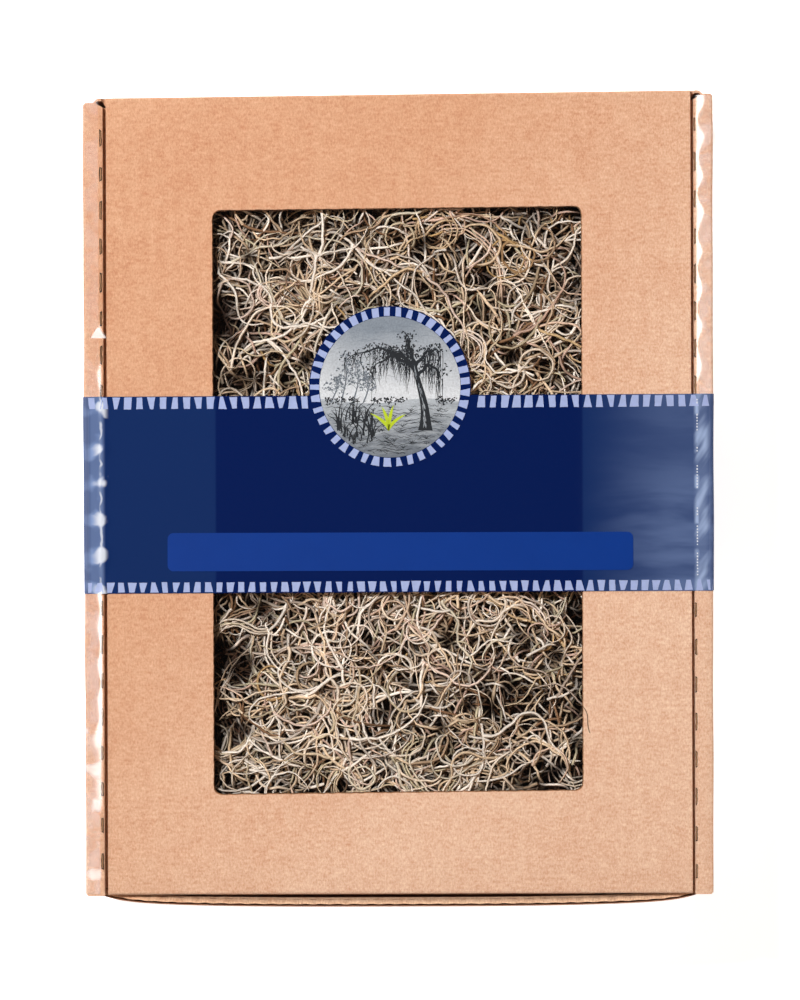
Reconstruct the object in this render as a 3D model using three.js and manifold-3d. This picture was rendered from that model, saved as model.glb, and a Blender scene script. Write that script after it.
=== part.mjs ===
// A bunch of dried Spanish moss as it is sold: packed in a kraft mailer whose
// lid has a window, and held shut by a band that goes all the way round.
// Millimetres. +X runs across the box, +Y towards the lid's hinge, +Z out of the lid.
import * as THREE from 'three';
import { mergeVertices } from 'three/addons/utils/BufferGeometryUtils.js';
import Module from 'manifold-3d';

const wasm = await Module();
wasm.setup();

// Board and box
const BOARD = 2.8;
const INNER_WIDTH = 228;
const INNER_LENGTH = 300;
const INNER_DEPTH = 63.5;
const PLY_GAP = 0.3;
const FOLD_RADIUS = 2;
const FOLD_STEPS = 3;
const CLEARANCE = 0.3;

// Side walls, front wall and tabs
const LEFT_WALL_SETBACK = 3.2;
const RIGHT_WALL_SETBACK = 0.8;
const BACK_WALL_OVERLAP = 3.6;
const FRONT_BOW = 4.2;
const FRONT_BOW_RISE = 50;
const FRONT_STEPS = 18;
const FRONT_RISE_STEPS = 4;
const TAB_LENGTH = 46;
const TAB_PLACES = [-95, 0, 95];

// Lid
const LID_SIDE_GAP = 1.2;
const FLAP_HALF_WIDTH = 74;
const FLAP_LENGTH = 36;
const FLAP_LEAN = 2.6;
const FLAP_CORNER = 9;
const WINDOW_WIDTH = 140.6;
const WINDOW_LENGTH = 224;
const WINDOW_CENTRE = new THREE.Vector2(-0.3, -2);
const WINDOW_CORNER = 3.5;
const CORNER_STEPS = 4;

// Wrappings: a clear film too thin to be a solid lies in the space under the band
const FILM_SPACE = 0.2;
const BAND = 0.2;
const STICKER_GAP = 0.1;
const BAND_WIDTH = 75.4;
const BAND_CENTRE = 0.7;
const BADGE_RADIUS = 30.8;
const BADGE_CENTRE = new THREE.Vector2(-3.4, 41.1);
const BADGE_STEPS = 48;
const STICKER = 0.2;
const STICKER_WIDTH = 177.6;
const STICKER_HEIGHT = 14.6;
const STICKER_CENTRE = new THREE.Vector2(0.4, -21.7);
const STICKER_CORNER = 2.3;

// Moss
const SEED = 2311;
const STRAND_RADIUS = 1.55;
const STRAND_SIDES = 3;
const STRAND_STEP = 4.2;
const TIGHTEST_CURL = 0.085;
const STRAND_CLEARANCE = 0.35;
const SELF_CLEARANCE = 0.8;
const ROOT_DEPTH = 4.5;
const LEAST_RISE = 3.2;
const CORE_DEPTH = 43;
const CORE_LUMP = 1.8;
const CORE_INSET = 7;
const TOP_STRANDS = 78;
const SIDE_STRANDS = 14;
const TRIES = 6000;

// Sizes that follow from the ones above
const WALL = 2 * BOARD + PLY_GAP;
const OUTER_HALF = INNER_WIDTH / 2 + WALL;
const INNER_HALF = INNER_WIDTH / 2;
const HALF_LENGTH = INNER_LENGTH / 2 + BOARD;
const LID_UNDER = BOARD + INNER_DEPTH;
const BOX_TOP = LID_UNDER + BOARD;
const LID_HALF = INNER_HALF - LID_SIDE_GAP;
const WRAP = FILM_SPACE + BAND;
const FRONT_FACE = -(HALF_LENGTH + FRONT_BOW);
const CENTRE_SHIFT = -(HALF_LENGTH + FRONT_FACE) / 2;

// Finishes
const kraft = new THREE.MeshStandardMaterial({ color: 0xdfae86, roughness: 0.85, metalness: 0 });
const kraftLid = new THREE.MeshStandardMaterial({ color: 0xe2b28b, roughness: 0.85, metalness: 0 });
const moss = new THREE.MeshStandardMaterial({ color: 0xa78f70, roughness: 0.9, metalness: 0 });
const navyPrint = new THREE.MeshStandardMaterial({ color: 0x03195a, roughness: 0.35, metalness: 0 });
const blueSticker = new THREE.MeshStandardMaterial({ color: 0x00308c, roughness: 0.4, metalness: 0 });

/** Turns a closed three.js geometry into a manifold solid. */
function solid(geometry) {
  const bare = geometry.clone();
  bare.deleteAttribute('normal');
  bare.deleteAttribute('uv');
  const merged = mergeVertices(bare, 1e-4);
  return new wasm.Manifold(new wasm.Mesh({
    numProp: 3,
    vertProperties: new Float32Array(merged.attributes.position.array),
    triVerts: new Uint32Array(merged.index.array),
  }));
}

/** Turns a manifold solid back into a three.js geometry. */
function geometryOf(shape) {
  const mesh = shape.getMesh();
  const geometry = new THREE.BufferGeometry();
  geometry.setAttribute('position', new THREE.BufferAttribute(mesh.vertProperties, 3));
  geometry.setIndex(new THREE.BufferAttribute(mesh.triVerts, 1));
  geometry.computeVertexNormals();
  return geometry;
}

/** Joins a list of solids into one. */
function joined(shapes) {
  return shapes.reduce((whole, shape) => whole.add(shape));
}

/** A named mesh of a solid. */
function piece(name, shape, material) {
  const mesh = new THREE.Mesh(geometryOf(shape), material);
  mesh.name = name;
  return mesh;
}

/** A plain block between two corners. */
function block(low, high) {
  const size = high.clone().sub(low);
  const geometry = new THREE.BoxGeometry(size.x, size.y, size.z);
  geometry.translate(low.x + size.x / 2, low.y + size.y / 2, low.z + size.z / 2);
  return solid(geometry);
}

/** Points of a rectangle with round corners, anticlockwise, about a centre. */
function roundRectangle(width, height, radius, steps, centre = new THREE.Vector2()) {
  const corners = [[1, 1], [-1, 1], [-1, -1], [1, -1]];
  return corners.flatMap(([sideX, sideY], corner) => {
    const middleX = centre.x + sideX * (width / 2 - radius);
    const middleY = centre.y + sideY * (height / 2 - radius);
    return Array.from({ length: steps + 1 }, (_, step) => {
      const angle = (corner + step / steps) * Math.PI / 2;
      return new THREE.Vector2(middleX + radius * Math.cos(angle), middleY + radius * Math.sin(angle));
    });
  });
}

/** A flat plate with an outline in X and Y, and holes if it has any. */
function plate(outline, low, thickness, holes = []) {
  const shape = new THREE.Shape(outline);
  shape.holes = holes.map((hole) => new THREE.Path(hole));
  const geometry = new THREE.ExtrudeGeometry(shape, { depth: thickness, bevelEnabled: false });
  geometry.translate(0, 0, low);
  return solid(geometry);
}

/** An outline in X and Z, drawn out along Y from one place to another. */
function runAlongY(outline, from, to, holes = []) {
  const shape = new THREE.Shape(outline);
  shape.holes = holes.map((hole) => new THREE.Path(hole));
  const geometry = new THREE.ExtrudeGeometry(shape, { depth: to - from, bevelEnabled: false });
  geometry.rotateX(Math.PI / 2);
  geometry.translate(0, to, 0);
  return solid(geometry);
}

/** An outline in Y and Z, drawn out along X, the same to both sides. */
function runAlongX(outline, halfWidth) {
  const shape = new THREE.Shape(outline);
  const geometry = new THREE.ExtrudeGeometry(shape, { depth: 2 * halfWidth, bevelEnabled: false });
  geometry.applyMatrix4(new THREE.Matrix4().makeBasis(
    new THREE.Vector3(0, 1, 0), new THREE.Vector3(0, 0, 1), new THREE.Vector3(1, 0, 0),
  ));
  geometry.translate(-halfWidth, 0, 0);
  return solid(geometry);
}

/** One quarter of a round fold, from one angle to another in quarter turns. */
function fold(centreX, centreZ, radius, fromQuarter, toQuarter) {
  return Array.from({ length: FOLD_STEPS + 1 }, (_, step) => {
    const angle = (fromQuarter + (toQuarter - fromQuarter) * step / FOLD_STEPS) * Math.PI / 2;
    return new THREE.Vector2(centreX + radius * Math.cos(angle), centreZ + radius * Math.sin(angle));
  });
}

/** One side wall: the outer ply folds over at the top and comes down as the inner ply. */
function sideWall(side) {
  const corner = OUTER_HALF - FOLD_RADIUS;
  const outline = [
    new THREE.Vector2(OUTER_HALF - BOARD, BOARD),
    new THREE.Vector2(OUTER_HALF - BOARD, 0),
    ...fold(corner, FOLD_RADIUS, FOLD_RADIUS, 3, 4),
    ...fold(corner, BOX_TOP - FOLD_RADIUS, FOLD_RADIUS, 0, 1),
    new THREE.Vector2(INNER_HALF + FOLD_RADIUS / 2, BOX_TOP),
    new THREE.Vector2(INNER_HALF, BOX_TOP - FOLD_RADIUS / 2),
    new THREE.Vector2(INNER_HALF, BOARD + CLEARANCE),
    new THREE.Vector2(INNER_HALF + BOARD, BOARD + CLEARANCE),
    new THREE.Vector2(INNER_HALF + BOARD, LID_UNDER),
    new THREE.Vector2(OUTER_HALF - BOARD, LID_UNDER),
  ].map((point) => new THREE.Vector2(side * point.x, point.y));
  const back = HALF_LENGTH - (side > 0 ? RIGHT_WALL_SETBACK : LEFT_WALL_SETBACK);
  return runAlongY(outline, -HALF_LENGTH, back);
}

/** The front wall: upright at its crease, bowed out towards its free top edge. */
function frontWall() {
  const height = LID_UNDER - CLEARANCE;
  const geometry = new THREE.BoxGeometry(INNER_WIDTH - 2 * CLEARANCE, BOARD, height, FRONT_STEPS, 1, FRONT_RISE_STEPS);
  geometry.translate(0, -(INNER_LENGTH + BOARD) / 2, height / 2);
  const place = geometry.attributes.position;
  for (let i = 0; i < place.count; i += 1) {
    const across = Math.abs(place.getX(i) / INNER_HALF) ** 3;
    const up = Math.sin(Math.min(1, Math.max(0, place.getZ(i) - BOARD) / FRONT_BOW_RISE) * Math.PI / 2);
    place.setY(i, place.getY(i) - FRONT_BOW * (1 - across) * up);
  }
  return solid(geometry);
}

/** The tray: base, double side walls locked by tabs, front wall and back wall. */
function tray() {
  const baseEnd = HALF_LENGTH - BOARD / 2;
  const baseHalf = OUTER_HALF - FOLD_RADIUS;
  let shape = joined([
    block(new THREE.Vector3(-baseHalf, -baseEnd, 0), new THREE.Vector3(baseHalf, baseEnd, BOARD)),
    sideWall(-1),
    sideWall(1),
    frontWall(),
    block(
      new THREE.Vector3(-INNER_HALF - BACK_WALL_OVERLAP, INNER_LENGTH / 2, 0),
      new THREE.Vector3(INNER_HALF + BACK_WALL_OVERLAP, HALF_LENGTH, LID_UNDER - CLEARANCE),
    ),
  ]);
  for (const side of [-1, 1]) {
    for (const place of TAB_PLACES) {
      const tabLow = new THREE.Vector3(
        side * (INNER_HALF + BOARD / 2) - BOARD / 2, place - TAB_LENGTH / 2, CLEARANCE,
      );
      const tabHigh = tabLow.clone().add(new THREE.Vector3(BOARD, TAB_LENGTH, BOARD + 2));
      const slotLow = tabLow.clone().addScalar(-CLEARANCE).setZ(-1);
      const slotHigh = tabHigh.clone().addScalar(CLEARANCE).setZ(BOARD + CLEARANCE / 2);
      shape = shape.subtract(block(slotLow, slotHigh)).add(block(tabLow, tabHigh));
    }
  }
  return shape;
}

/** The lid: a windowed panel, a round fold at the front and the tuck flap below it. */
function lid() {
  const back = HALF_LENGTH;
  const front = -HALF_LENGTH;
  const panel = runAlongX([
    new THREE.Vector2(back, LID_UNDER),
    ...fold(back - FOLD_RADIUS, BOX_TOP - FOLD_RADIUS, FOLD_RADIUS, 0, 1),
    ...fold(front + FOLD_RADIUS, BOX_TOP - FOLD_RADIUS, FOLD_RADIUS, 1, 2),
    new THREE.Vector2(front, LID_UNDER),
  ], LID_HALF);
  const flap = runAlongX([
    new THREE.Vector2(front + BOARD, LID_UNDER + BOARD / 2),
    new THREE.Vector2(front, LID_UNDER + BOARD / 4),
    new THREE.Vector2(front + FLAP_LEAN, LID_UNDER - FLAP_LENGTH),
    new THREE.Vector2(front + FLAP_LEAN + BOARD, LID_UNDER - FLAP_LENGTH),
    new THREE.Vector2(front + BOARD, LID_UNDER),
  ], FLAP_HALF_WIDTH);
  const window = plate(
    roundRectangle(WINDOW_WIDTH, WINDOW_LENGTH, WINDOW_CORNER, CORNER_STEPS, WINDOW_CENTRE),
    LID_UNDER - 1, BOARD + 2,
  );
  let shape = panel.add(flap).subtract(window);
  for (const side of [-1, 1]) {
    const low = LID_UNDER - FLAP_LENGTH;
    const corner = new THREE.Shape([
      new THREE.Vector2(side * (FLAP_HALF_WIDTH + 1), low - 1),
      new THREE.Vector2(side * (FLAP_HALF_WIDTH + 1), low + FLAP_CORNER),
      new THREE.Vector2(side * (FLAP_HALF_WIDTH - FLAP_CORNER), low - 1),
    ]);
    const cutter = new THREE.ExtrudeGeometry(corner, { depth: 4 * BOARD, bevelEnabled: false });
    cutter.rotateX(Math.PI / 2);
    cutter.translate(0, front + 3 * BOARD, 0);
    shape = shape.subtract(solid(cutter));
  }
  return shape;
}

/** The printed band: a closed ring round the box, and the badge above its upper edge. */
function band() {
  const middle = new THREE.Vector2(0, BOX_TOP / 2);
  const around = (grow) => roundRectangle(
    2 * (OUTER_HALF + grow), BOX_TOP + 2 * grow, FOLD_RADIUS + grow, FOLD_STEPS, middle,
  );
  const from = BAND_CENTRE - BAND_WIDTH / 2;
  const ring = runAlongY(around(WRAP), from, from + BAND_WIDTH, [around(FILM_SPACE)]);
  const badge = Array.from({ length: BADGE_STEPS }, (_, step) => {
    const angle = step / BADGE_STEPS * 2 * Math.PI;
    return new THREE.Vector2(
      BADGE_CENTRE.x + BADGE_RADIUS * Math.cos(angle),
      BADGE_CENTRE.y + BADGE_RADIUS * Math.sin(angle),
    );
  });
  return ring.add(plate(badge, BOX_TOP + FILM_SPACE, BAND));
}

/** A repeatable random number from 0 to 1, from a mulberry generator. */
function randomFrom(seed) {
  let state = seed;
  return () => {
    state = (state + 0x6d2b79f5) | 0;
    let mixed = Math.imul(state ^ (state >>> 15), 1 | state);
    mixed = (mixed + Math.imul(mixed ^ (mixed >>> 7), 61 | mixed)) ^ mixed;
    return ((mixed ^ (mixed >>> 14)) >>> 0) / 4294967296;
  };
}

/** How high the packed mass of moss stands at a place, in soft lumps. */
function coreTop(x, y) {
  const lumps = Math.sin(x / 17 + 0.6) * Math.cos(y / 23) + 0.6 * Math.sin((x + y) / 11);
  return BOARD + CORE_DEPTH + CORE_LUMP * lumps;
}

/** The packed mass inside the bunch: a cushion with rounded sides and a lumpy top. */
function mossCore() {
  const width = INNER_WIDTH - 2 * CORE_INSET;
  const length = INNER_LENGTH - 2 * CORE_INSET;
  const geometry = new THREE.BoxGeometry(width, length, CORE_DEPTH, 9, 12, 3);
  const place = geometry.attributes.position;
  for (let i = 0; i < place.count; i += 1) {
    const x = place.getX(i);
    const y = place.getY(i);
    const up = place.getZ(i) / CORE_DEPTH + 0.5;
    const pull = 1 - 0.035 * (2 * up - 1) ** 2 - 0.02 * Math.cos(x / 19) * Math.cos(y / 13);
    const foot = BOARD + CLEARANCE;
    place.setXYZ(i, x * pull, y * pull - 1, foot + up * (coreTop(x, y) - foot));
  }
  return solid(geometry);
}

/** How high a strand's middle may lie at a place: under the lid, or up into the window. */
function ceiling(x, y) {
  const fromSide = WINDOW_WIDTH / 2 - Math.abs(x - WINDOW_CENTRE.x);
  const fromEnd = WINDOW_LENGTH / 2 - Math.abs(y - WINDOW_CENTRE.y);
  const inside = THREE.MathUtils.smoothstep(Math.min(fromSide, fromEnd), 3, 16);
  return LID_UNDER - CLEARANCE - STRAND_RADIUS + inside * (BOARD - CLEARANCE);
}

/** One curly strand over the top: it leaves the mass, winds about and goes back in. */
function topStrand(random) {
  const count = 15 + Math.floor(random() * 8);
  const level = random();
  const waveLength = 34 + 26 * random();
  const swing = 0.3 + 0.9 * random();
  const drift = (random() - 0.5) * 2 * TIGHTEST_CURL;
  const phase = random() * 2 * Math.PI;
  const heading = random() * 2 * Math.PI;
  const spot = new THREE.Vector2(
    WINDOW_CENTRE.x + (random() - 0.5) * (WINDOW_WIDTH + 10),
    WINDOW_CENTRE.y + (random() - 0.5) * (WINDOW_LENGTH + 10),
  );
  return Array.from({ length: count + 1 }, (_, step) => {
    const along = step * STRAND_STEP;
    const turn = heading + swing * Math.sin(along / waveLength * 2 * Math.PI + phase) + drift * along;
    if (step > 0) {
      spot.x += STRAND_STEP * Math.cos(turn);
      spot.y += STRAND_STEP * Math.sin(turn);
    }
    const low = coreTop(spot.x, spot.y) - ROOT_DEPTH;
    const lift = Math.min(1, 2.4 * Math.sin(step / count * Math.PI));
    const rest = THREE.MathUtils.lerp(low + ROOT_DEPTH + LEAST_RISE, ceiling(spot.x, spot.y), level);
    return new THREE.Vector3(spot.x, spot.y, THREE.MathUtils.lerp(low, rest, lift));
  });
}

/** One strand bent out of a side of the mass and back in again. */
function sideStrand(random, index) {
  const side = index % 4;
  const count = 8 + Math.floor(random() * 4);
  const acrossSide = side < 2;
  const sign = side % 2 ? 1 : -1;
  const faceHalf = (acrossSide ? INNER_WIDTH : INNER_LENGTH) / 2;
  const runHalf = (acrossSide ? INNER_LENGTH : INNER_WIDTH) / 2 - 30;
  let run = (random() * 2 - 1) * runHalf;
  let up = BOARD + 10 + random() * (CORE_DEPTH - 22);
  const heading = (random() - 0.5) * 1.2 + (random() < 0.5 ? Math.PI : 0);
  const phase = random() * 2 * Math.PI;
  return Array.from({ length: count + 1 }, (_, step) => {
    const turn = heading + 0.9 * Math.sin(step * 0.8 + phase);
    run += STRAND_STEP * Math.cos(turn);
    up = THREE.MathUtils.clamp(up + STRAND_STEP * Math.sin(turn), BOARD + 5, BOARD + CORE_DEPTH - 6);
    const out = Math.min(1, 1.6 * Math.sin(step / count * Math.PI));
    const face = sign * THREE.MathUtils.lerp(faceHalf - CORE_INSET - 8, faceHalf - 4.6, out);
    return acrossSide ? new THREE.Vector3(face, run, up) : new THREE.Vector3(run, face, up);
  });
}

/** True if a strand keeps clear of itself and of every strand laid before it. */
function liesClear(points, laid) {
  const least = 2 * STRAND_RADIUS + STRAND_CLEARANCE;
  const doublesBack = points.some((point, index) => points.slice(index + 3)
    .some((later) => point.distanceTo(later) < least + SELF_CLEARANCE));
  if (doublesBack) {
    return false;
  }
  const around = new THREE.Box3().setFromPoints(points).expandByScalar(least);
  const near = laid.flat().filter((point) => around.containsPoint(point));
  return near.every((other) => points.every((point) => point.distanceTo(other) >= least));
}

/** True if a strand's points all lie over the lid's window or just past its edge. */
function overWindow(points) {
  return points.every((point) => Math.abs(point.x - WINDOW_CENTRE.x) < WINDOW_WIDTH / 2 + 8
    && Math.abs(point.y - WINDOW_CENTRE.y) < WINDOW_LENGTH / 2 + 8);
}

/** True if a strand's points all keep off the box's walls. */
function insideWalls(points) {
  const room = STRAND_RADIUS + BOARD;
  return points.every((point) => Math.abs(point.x) < INNER_HALF - room
    && Math.abs(point.y) < INNER_LENGTH / 2 - room);
}

/** A strand's solid: a few-sided rod drawn along its curve. */
function strandSolid(points) {
  const section = new THREE.Shape(Array.from({ length: STRAND_SIDES }, (_, side) => {
    const angle = side / STRAND_SIDES * 2 * Math.PI;
    return new THREE.Vector2(STRAND_RADIUS * Math.cos(angle), STRAND_RADIUS * Math.sin(angle));
  }));
  return solid(new THREE.ExtrudeGeometry(section, {
    steps: points.length - 1,
    bevelEnabled: false,
    extrudePath: new THREE.CatmullRomCurve3(points),
  }));
}

/** The bunch: strands laid one at a time, each where it clears the last, on the packed mass. */
function mossBunch() {
  const random = randomFrom(SEED);
  const laid = [];
  for (let tries = 0; tries < TRIES && laid.length < TOP_STRANDS; tries += 1) {
    const points = topStrand(random);
    const fine = new THREE.CatmullRomCurve3(points).getSpacedPoints(3 * (points.length - 1));
    if (overWindow(points) && liesClear(fine, laid)) {
      laid.push(fine);
    }
  }
  for (let tries = 0; tries < TRIES && laid.length < TOP_STRANDS + SIDE_STRANDS; tries += 1) {
    const points = sideStrand(random, laid.length);
    const fine = new THREE.CatmullRomCurve3(points).getSpacedPoints(3 * (points.length - 1));
    if (insideWalls(points) && liesClear(fine, laid)) {
      laid.push(fine);
    }
  }
  const strands = laid.map((fine) => strandSolid(fine.filter((_, index) => index % 3 === 0)));
  return wasm.Manifold.union([mossCore(), ...strands]);
}

const pack = new THREE.Group();
pack.position.set(0, CENTRE_SHIFT, WRAP);
pack.add(
  piece('mailer_tray', tray(), kraft),
  piece('mailer_lid', lid(), kraftLid),
  piece('moss_bunch', mossBunch(), moss),
  piece('printed_band', band(), navyPrint),
  piece('blue_sticker', plate(
    roundRectangle(STICKER_WIDTH, STICKER_HEIGHT, STICKER_CORNER, CORNER_STEPS, STICKER_CENTRE),
    BOX_TOP + WRAP + STICKER_GAP, STICKER,
  ), blueSticker),
);

const boxedMoss = new THREE.Group();
boxedMoss.add(pack);

export default boxedMoss;
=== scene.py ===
"""Dresses a boxed bunch of dried Spanish moss: curly strands behind the window of a kraft mailer,
a clear film drawn tight round the box, and a printed band with a round badge.

Metres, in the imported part's own frame: +X across the box, +Y towards the lid's hinge, +Z up.
"""

import logging
import math
from dataclasses import dataclass
from enum import Enum
from functools import partial
from typing import Any, Callable, Sequence

import bmesh
import bpy
import numpy as np
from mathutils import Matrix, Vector


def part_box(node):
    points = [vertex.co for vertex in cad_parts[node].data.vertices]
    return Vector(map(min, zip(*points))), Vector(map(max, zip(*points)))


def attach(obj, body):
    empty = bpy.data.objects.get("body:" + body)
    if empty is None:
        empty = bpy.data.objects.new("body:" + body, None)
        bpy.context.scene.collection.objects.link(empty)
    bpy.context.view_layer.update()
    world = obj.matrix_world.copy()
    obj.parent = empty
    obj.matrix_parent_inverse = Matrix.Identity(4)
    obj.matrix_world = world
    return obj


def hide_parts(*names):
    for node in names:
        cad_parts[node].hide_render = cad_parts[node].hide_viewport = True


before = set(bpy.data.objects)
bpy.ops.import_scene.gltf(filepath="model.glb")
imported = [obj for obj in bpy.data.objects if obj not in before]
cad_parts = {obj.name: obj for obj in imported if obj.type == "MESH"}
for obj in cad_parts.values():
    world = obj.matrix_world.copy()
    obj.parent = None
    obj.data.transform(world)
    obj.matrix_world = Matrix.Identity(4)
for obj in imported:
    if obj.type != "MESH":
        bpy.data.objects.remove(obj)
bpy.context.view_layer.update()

MM = 0.001
TURN = 2 * math.pi
BODY = "root"
log = logging.getLogger("boxed_moss")

Array, Piece, Mesh, Material = np.ndarray, bpy.types.Object, bpy.types.Mesh, bpy.types.Material
Tree, Node, Socket = bpy.types.NodeTree, bpy.types.Node, bpy.types.NodeSocket
Rings = Sequence[Array]
Adder = Callable[..., Node]


# ---------------------------------------------------------------- nodes


class Kind(Enum):
    """The nodes that are used often: each one's type, then the settings that it has here."""

    SPLIT = "ShaderNodeSeparateXYZ"
    JOIN = "ShaderNodeCombineXYZ"
    NOISE = "ShaderNodeTexNoise"
    STRETCH = "ShaderNodeMapping"
    ATTRIBUTE = "ShaderNodeAttribute"
    GREY = "ShaderNodeCombineColor"
    BUMP = "ShaderNodeBump"
    PAINT = "ShaderNodeBsdfPrincipled"
    LAYERED = "ShaderNodeMixShader"
    MIXED = "ShaderNodeMix data_type=RGBA"
    MULTIPLIED = "ShaderNodeMix data_type=RGBA blend_type=MULTIPLY"
    RANGE = "ShaderNodeMapRange"
    EASED = "ShaderNodeMapRange interpolation_type=SMOOTHSTEP"
    PLUS = "ShaderNodeMath operation=ADD"
    MINUS = "ShaderNodeMath operation=SUBTRACT"
    TIMES = "ShaderNodeMath operation=MULTIPLY"
    TIMES_PLUS = "ShaderNodeMath operation=MULTIPLY_ADD"
    OVER = "ShaderNodeMath operation=DIVIDE"
    LEAST = "ShaderNodeMath operation=MINIMUM"
    MOST = "ShaderNodeMath operation=MAXIMUM"
    SIZE = "ShaderNodeMath operation=ABSOLUTE"
    SINE = "ShaderNodeMath operation=SINE"
    FLOOR = "ShaderNodeMath operation=FLOOR"
    BELOW = "ShaderNodeMath operation=LESS_THAN"
    ABOVE = "ShaderNodeMath operation=GREATER_THAN"
    VECTOR_PLUS = "ShaderNodeVectorMath operation=ADD"
    VECTOR_MINUS = "ShaderNodeVectorMath operation=SUBTRACT"
    VECTOR_TIMES = "ShaderNodeVectorMath operation=MULTIPLY"
    SCALED = "ShaderNodeVectorMath operation=SCALE"
    POINT_NOISE = "ShaderNodeTexNoise noise_dimensions=4D"
    POSITION = "GeometryNodeInputPosition"
    MOVED = "GeometryNodeSetPosition"
    STORED = "GeometryNodeStoreNamedAttribute domain=POINT"
    RECALLED = "GeometryNodeInputNamedAttribute"
    REALIZED = "GeometryNodeRealizeInstances"


def add_node(tree: Tree, kind: Kind | str, *values: Any, **named: Any) -> Node:
    """Adds a node with its settings, values and links. A node as a value is its first output in use,
    and a hex colour is made linear.

    Args:
        tree: the node tree that takes it.
        kind: one of the kinds above, or a node's type name.
        *values: for its inputs in use, in their order.
        **named: for inputs, by their names with underscores, and for the node's own settings.

    Returns:
        The new node.
    """
    type_name, *settings = (kind.value if isinstance(kind, Kind) else kind).split()
    node = tree.nodes.new(type_name)
    labels = [socket.name.lower().replace(" ", "_") for socket in node.inputs]
    for name, value in {**dict(setting.split("=") for setting in settings), **named}.items():
        if name not in labels:
            setattr(node, name, value)
    used = [(label, socket) for label, socket in zip(labels, node.inputs) if socket.enabled]
    pairs = [(socket, value) for (_, socket), value in zip(used, values)]
    pairs += [(socket, named[label]) for label, socket in used if label in named]
    for socket, value in pairs:
        if isinstance(value, Node):
            value = next(output for output in value.outputs if output.enabled)
        if isinstance(value, Socket):
            tree.links.new(value, socket)
        else:
            is_colour = isinstance(value, str) and value.startswith("#")
            socket.default_value = linear(value) if is_colour else value
    return node


def geometry_tree(name: str, inputs: dict[str, str]) -> tuple[Tree, dict[str, Socket]]:
    """Starts a Geometry Nodes tree.

    Args:
        name: the tree's name.
        inputs: input names to socket types, after the geometry itself.

    Returns:
        The tree, and its inputs by name.
    """
    tree = bpy.data.node_groups.new(name, "GeometryNodeTree")
    tree.interface.new_socket("Geometry", in_out="INPUT", socket_type="NodeSocketGeometry")
    for label, kind in inputs.items():
        tree.interface.new_socket(label, in_out="INPUT", socket_type=f"NodeSocket{kind}")
    tree.interface.new_socket("Geometry", in_out="OUTPUT", socket_type="NodeSocketGeometry")
    return tree, tree.nodes.new("NodeGroupInput").outputs


def finish_tree(add: Adder, geometry: Any, material: Any) -> None:
    """Ends a tree in Realize Instances and Set Material."""
    painted = add("GeometryNodeSetMaterial", add(Kind.REALIZED, geometry), material=material)
    add("NodeGroupOutput", painted)


# ---------------------------------------------------------------- numbers and meshes


def linear(colour: str) -> tuple[float, float, float, float]:
    """Turns an sRGB hex colour into linear values.

    Args:
        colour: six hex digits after a hash sign.

    Returns:
        Linear red, green and blue, and an alpha of 1.
    """
    parts = [int(colour[i:i + 2], 16) / 255 for i in (1, 3, 5)]
    curved = [p / 12.92 if p <= 0.04045 else ((p + 0.055) / 1.055) ** 2.4 for p in parts]
    return (curved[0], curved[1], curved[2], 1.0)


def per_metre(size_mm: float) -> float:
    """Texture scale that gives features of about this size."""
    return 1.0 / (size_mm * MM)


def smoothed(value: Array, low: float, high: float) -> Array:
    """Goes smoothly from 0 at low to 1 at high."""
    t = np.clip((value - low) / (high - low), 0.0, 1.0)
    return t * t * (3 - 2 * t)


def waves(place: Array, lengths_mm: Sequence[float], seed: int) -> Array:
    """A smooth random line between about -1 and 1.

    Args:
        place: where it is read, in metres.
        lengths_mm: the lengths of the sines that it is made of.
        seed: for their phases.

    Returns:
        Its value at each place.
    """
    phases = np.random.default_rng(seed).uniform(0, TURN, len(lengths_mm))
    total = sum(np.sin(TURN * place / (length * MM) + phase) for length, phase in zip(lengths_mm, phases))
    return total / len(lengths_mm)


def linked(name: str, data: bpy.types.ID) -> Piece:
    """An object at the origin, in the scene.

    Args:
        name: the object's name.
        data: the mesh, lamp or camera that it holds.

    Returns:
        The object.
    """
    piece = bpy.data.objects.new(name, data)
    bpy.context.scene.collection.objects.link(piece)
    return piece


def new_piece(name: str, vertices: Array | list, faces: list, materials: Sequence[Material],
              face_slots: Sequence[int] | None = None, smooth: bool = True) -> Piece:
    """Makes a mesh object at the origin.

    Args:
        name: the piece's name.
        vertices: its points, in metres.
        faces: lists of point numbers.
        materials: its material slots, in order.
        face_slots: each face's slot number, or None for the first slot.
        smooth: whether faces are shaded smooth.

    Returns:
        The new object.
    """
    mesh = bpy.data.meshes.new(name)
    mesh.from_pydata([tuple(v) for v in np.asarray(vertices, float)], [], faces)
    for material in materials:
        mesh.materials.append(material)
    if face_slots is not None:
        mesh.polygons.foreach_set("material_index", list(face_slots))
    mesh.polygons.foreach_set("use_smooth", [smooth] * len(mesh.polygons))
    mesh.update()
    return linked(name, mesh)


def swept(rings: Rings, capped: bool = True) -> tuple[Array, list, list]:
    """Joins closed rings of points into a skin.

    Args:
        rings: rings with the same number of points, in order.
        capped: whether the first and last ring are filled.

    Returns:
        Points, faces, and each face's part: 0 for the skin and 1 for an end.
    """
    count, last = len(rings[0]), (len(rings) - 1) * len(rings[0])
    faces = [[low + i, low + (i + 1) % count, low + count + (i + 1) % count, low + count + i]
             for low in range(0, last, count) for i in range(count)]
    parts = [0] * len(faces)
    if capped:
        faces += [list(range(count))[::-1], [last + i for i in range(count)]]
        parts += [1, 1]
    return np.concatenate(rings), faces, parts


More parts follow.
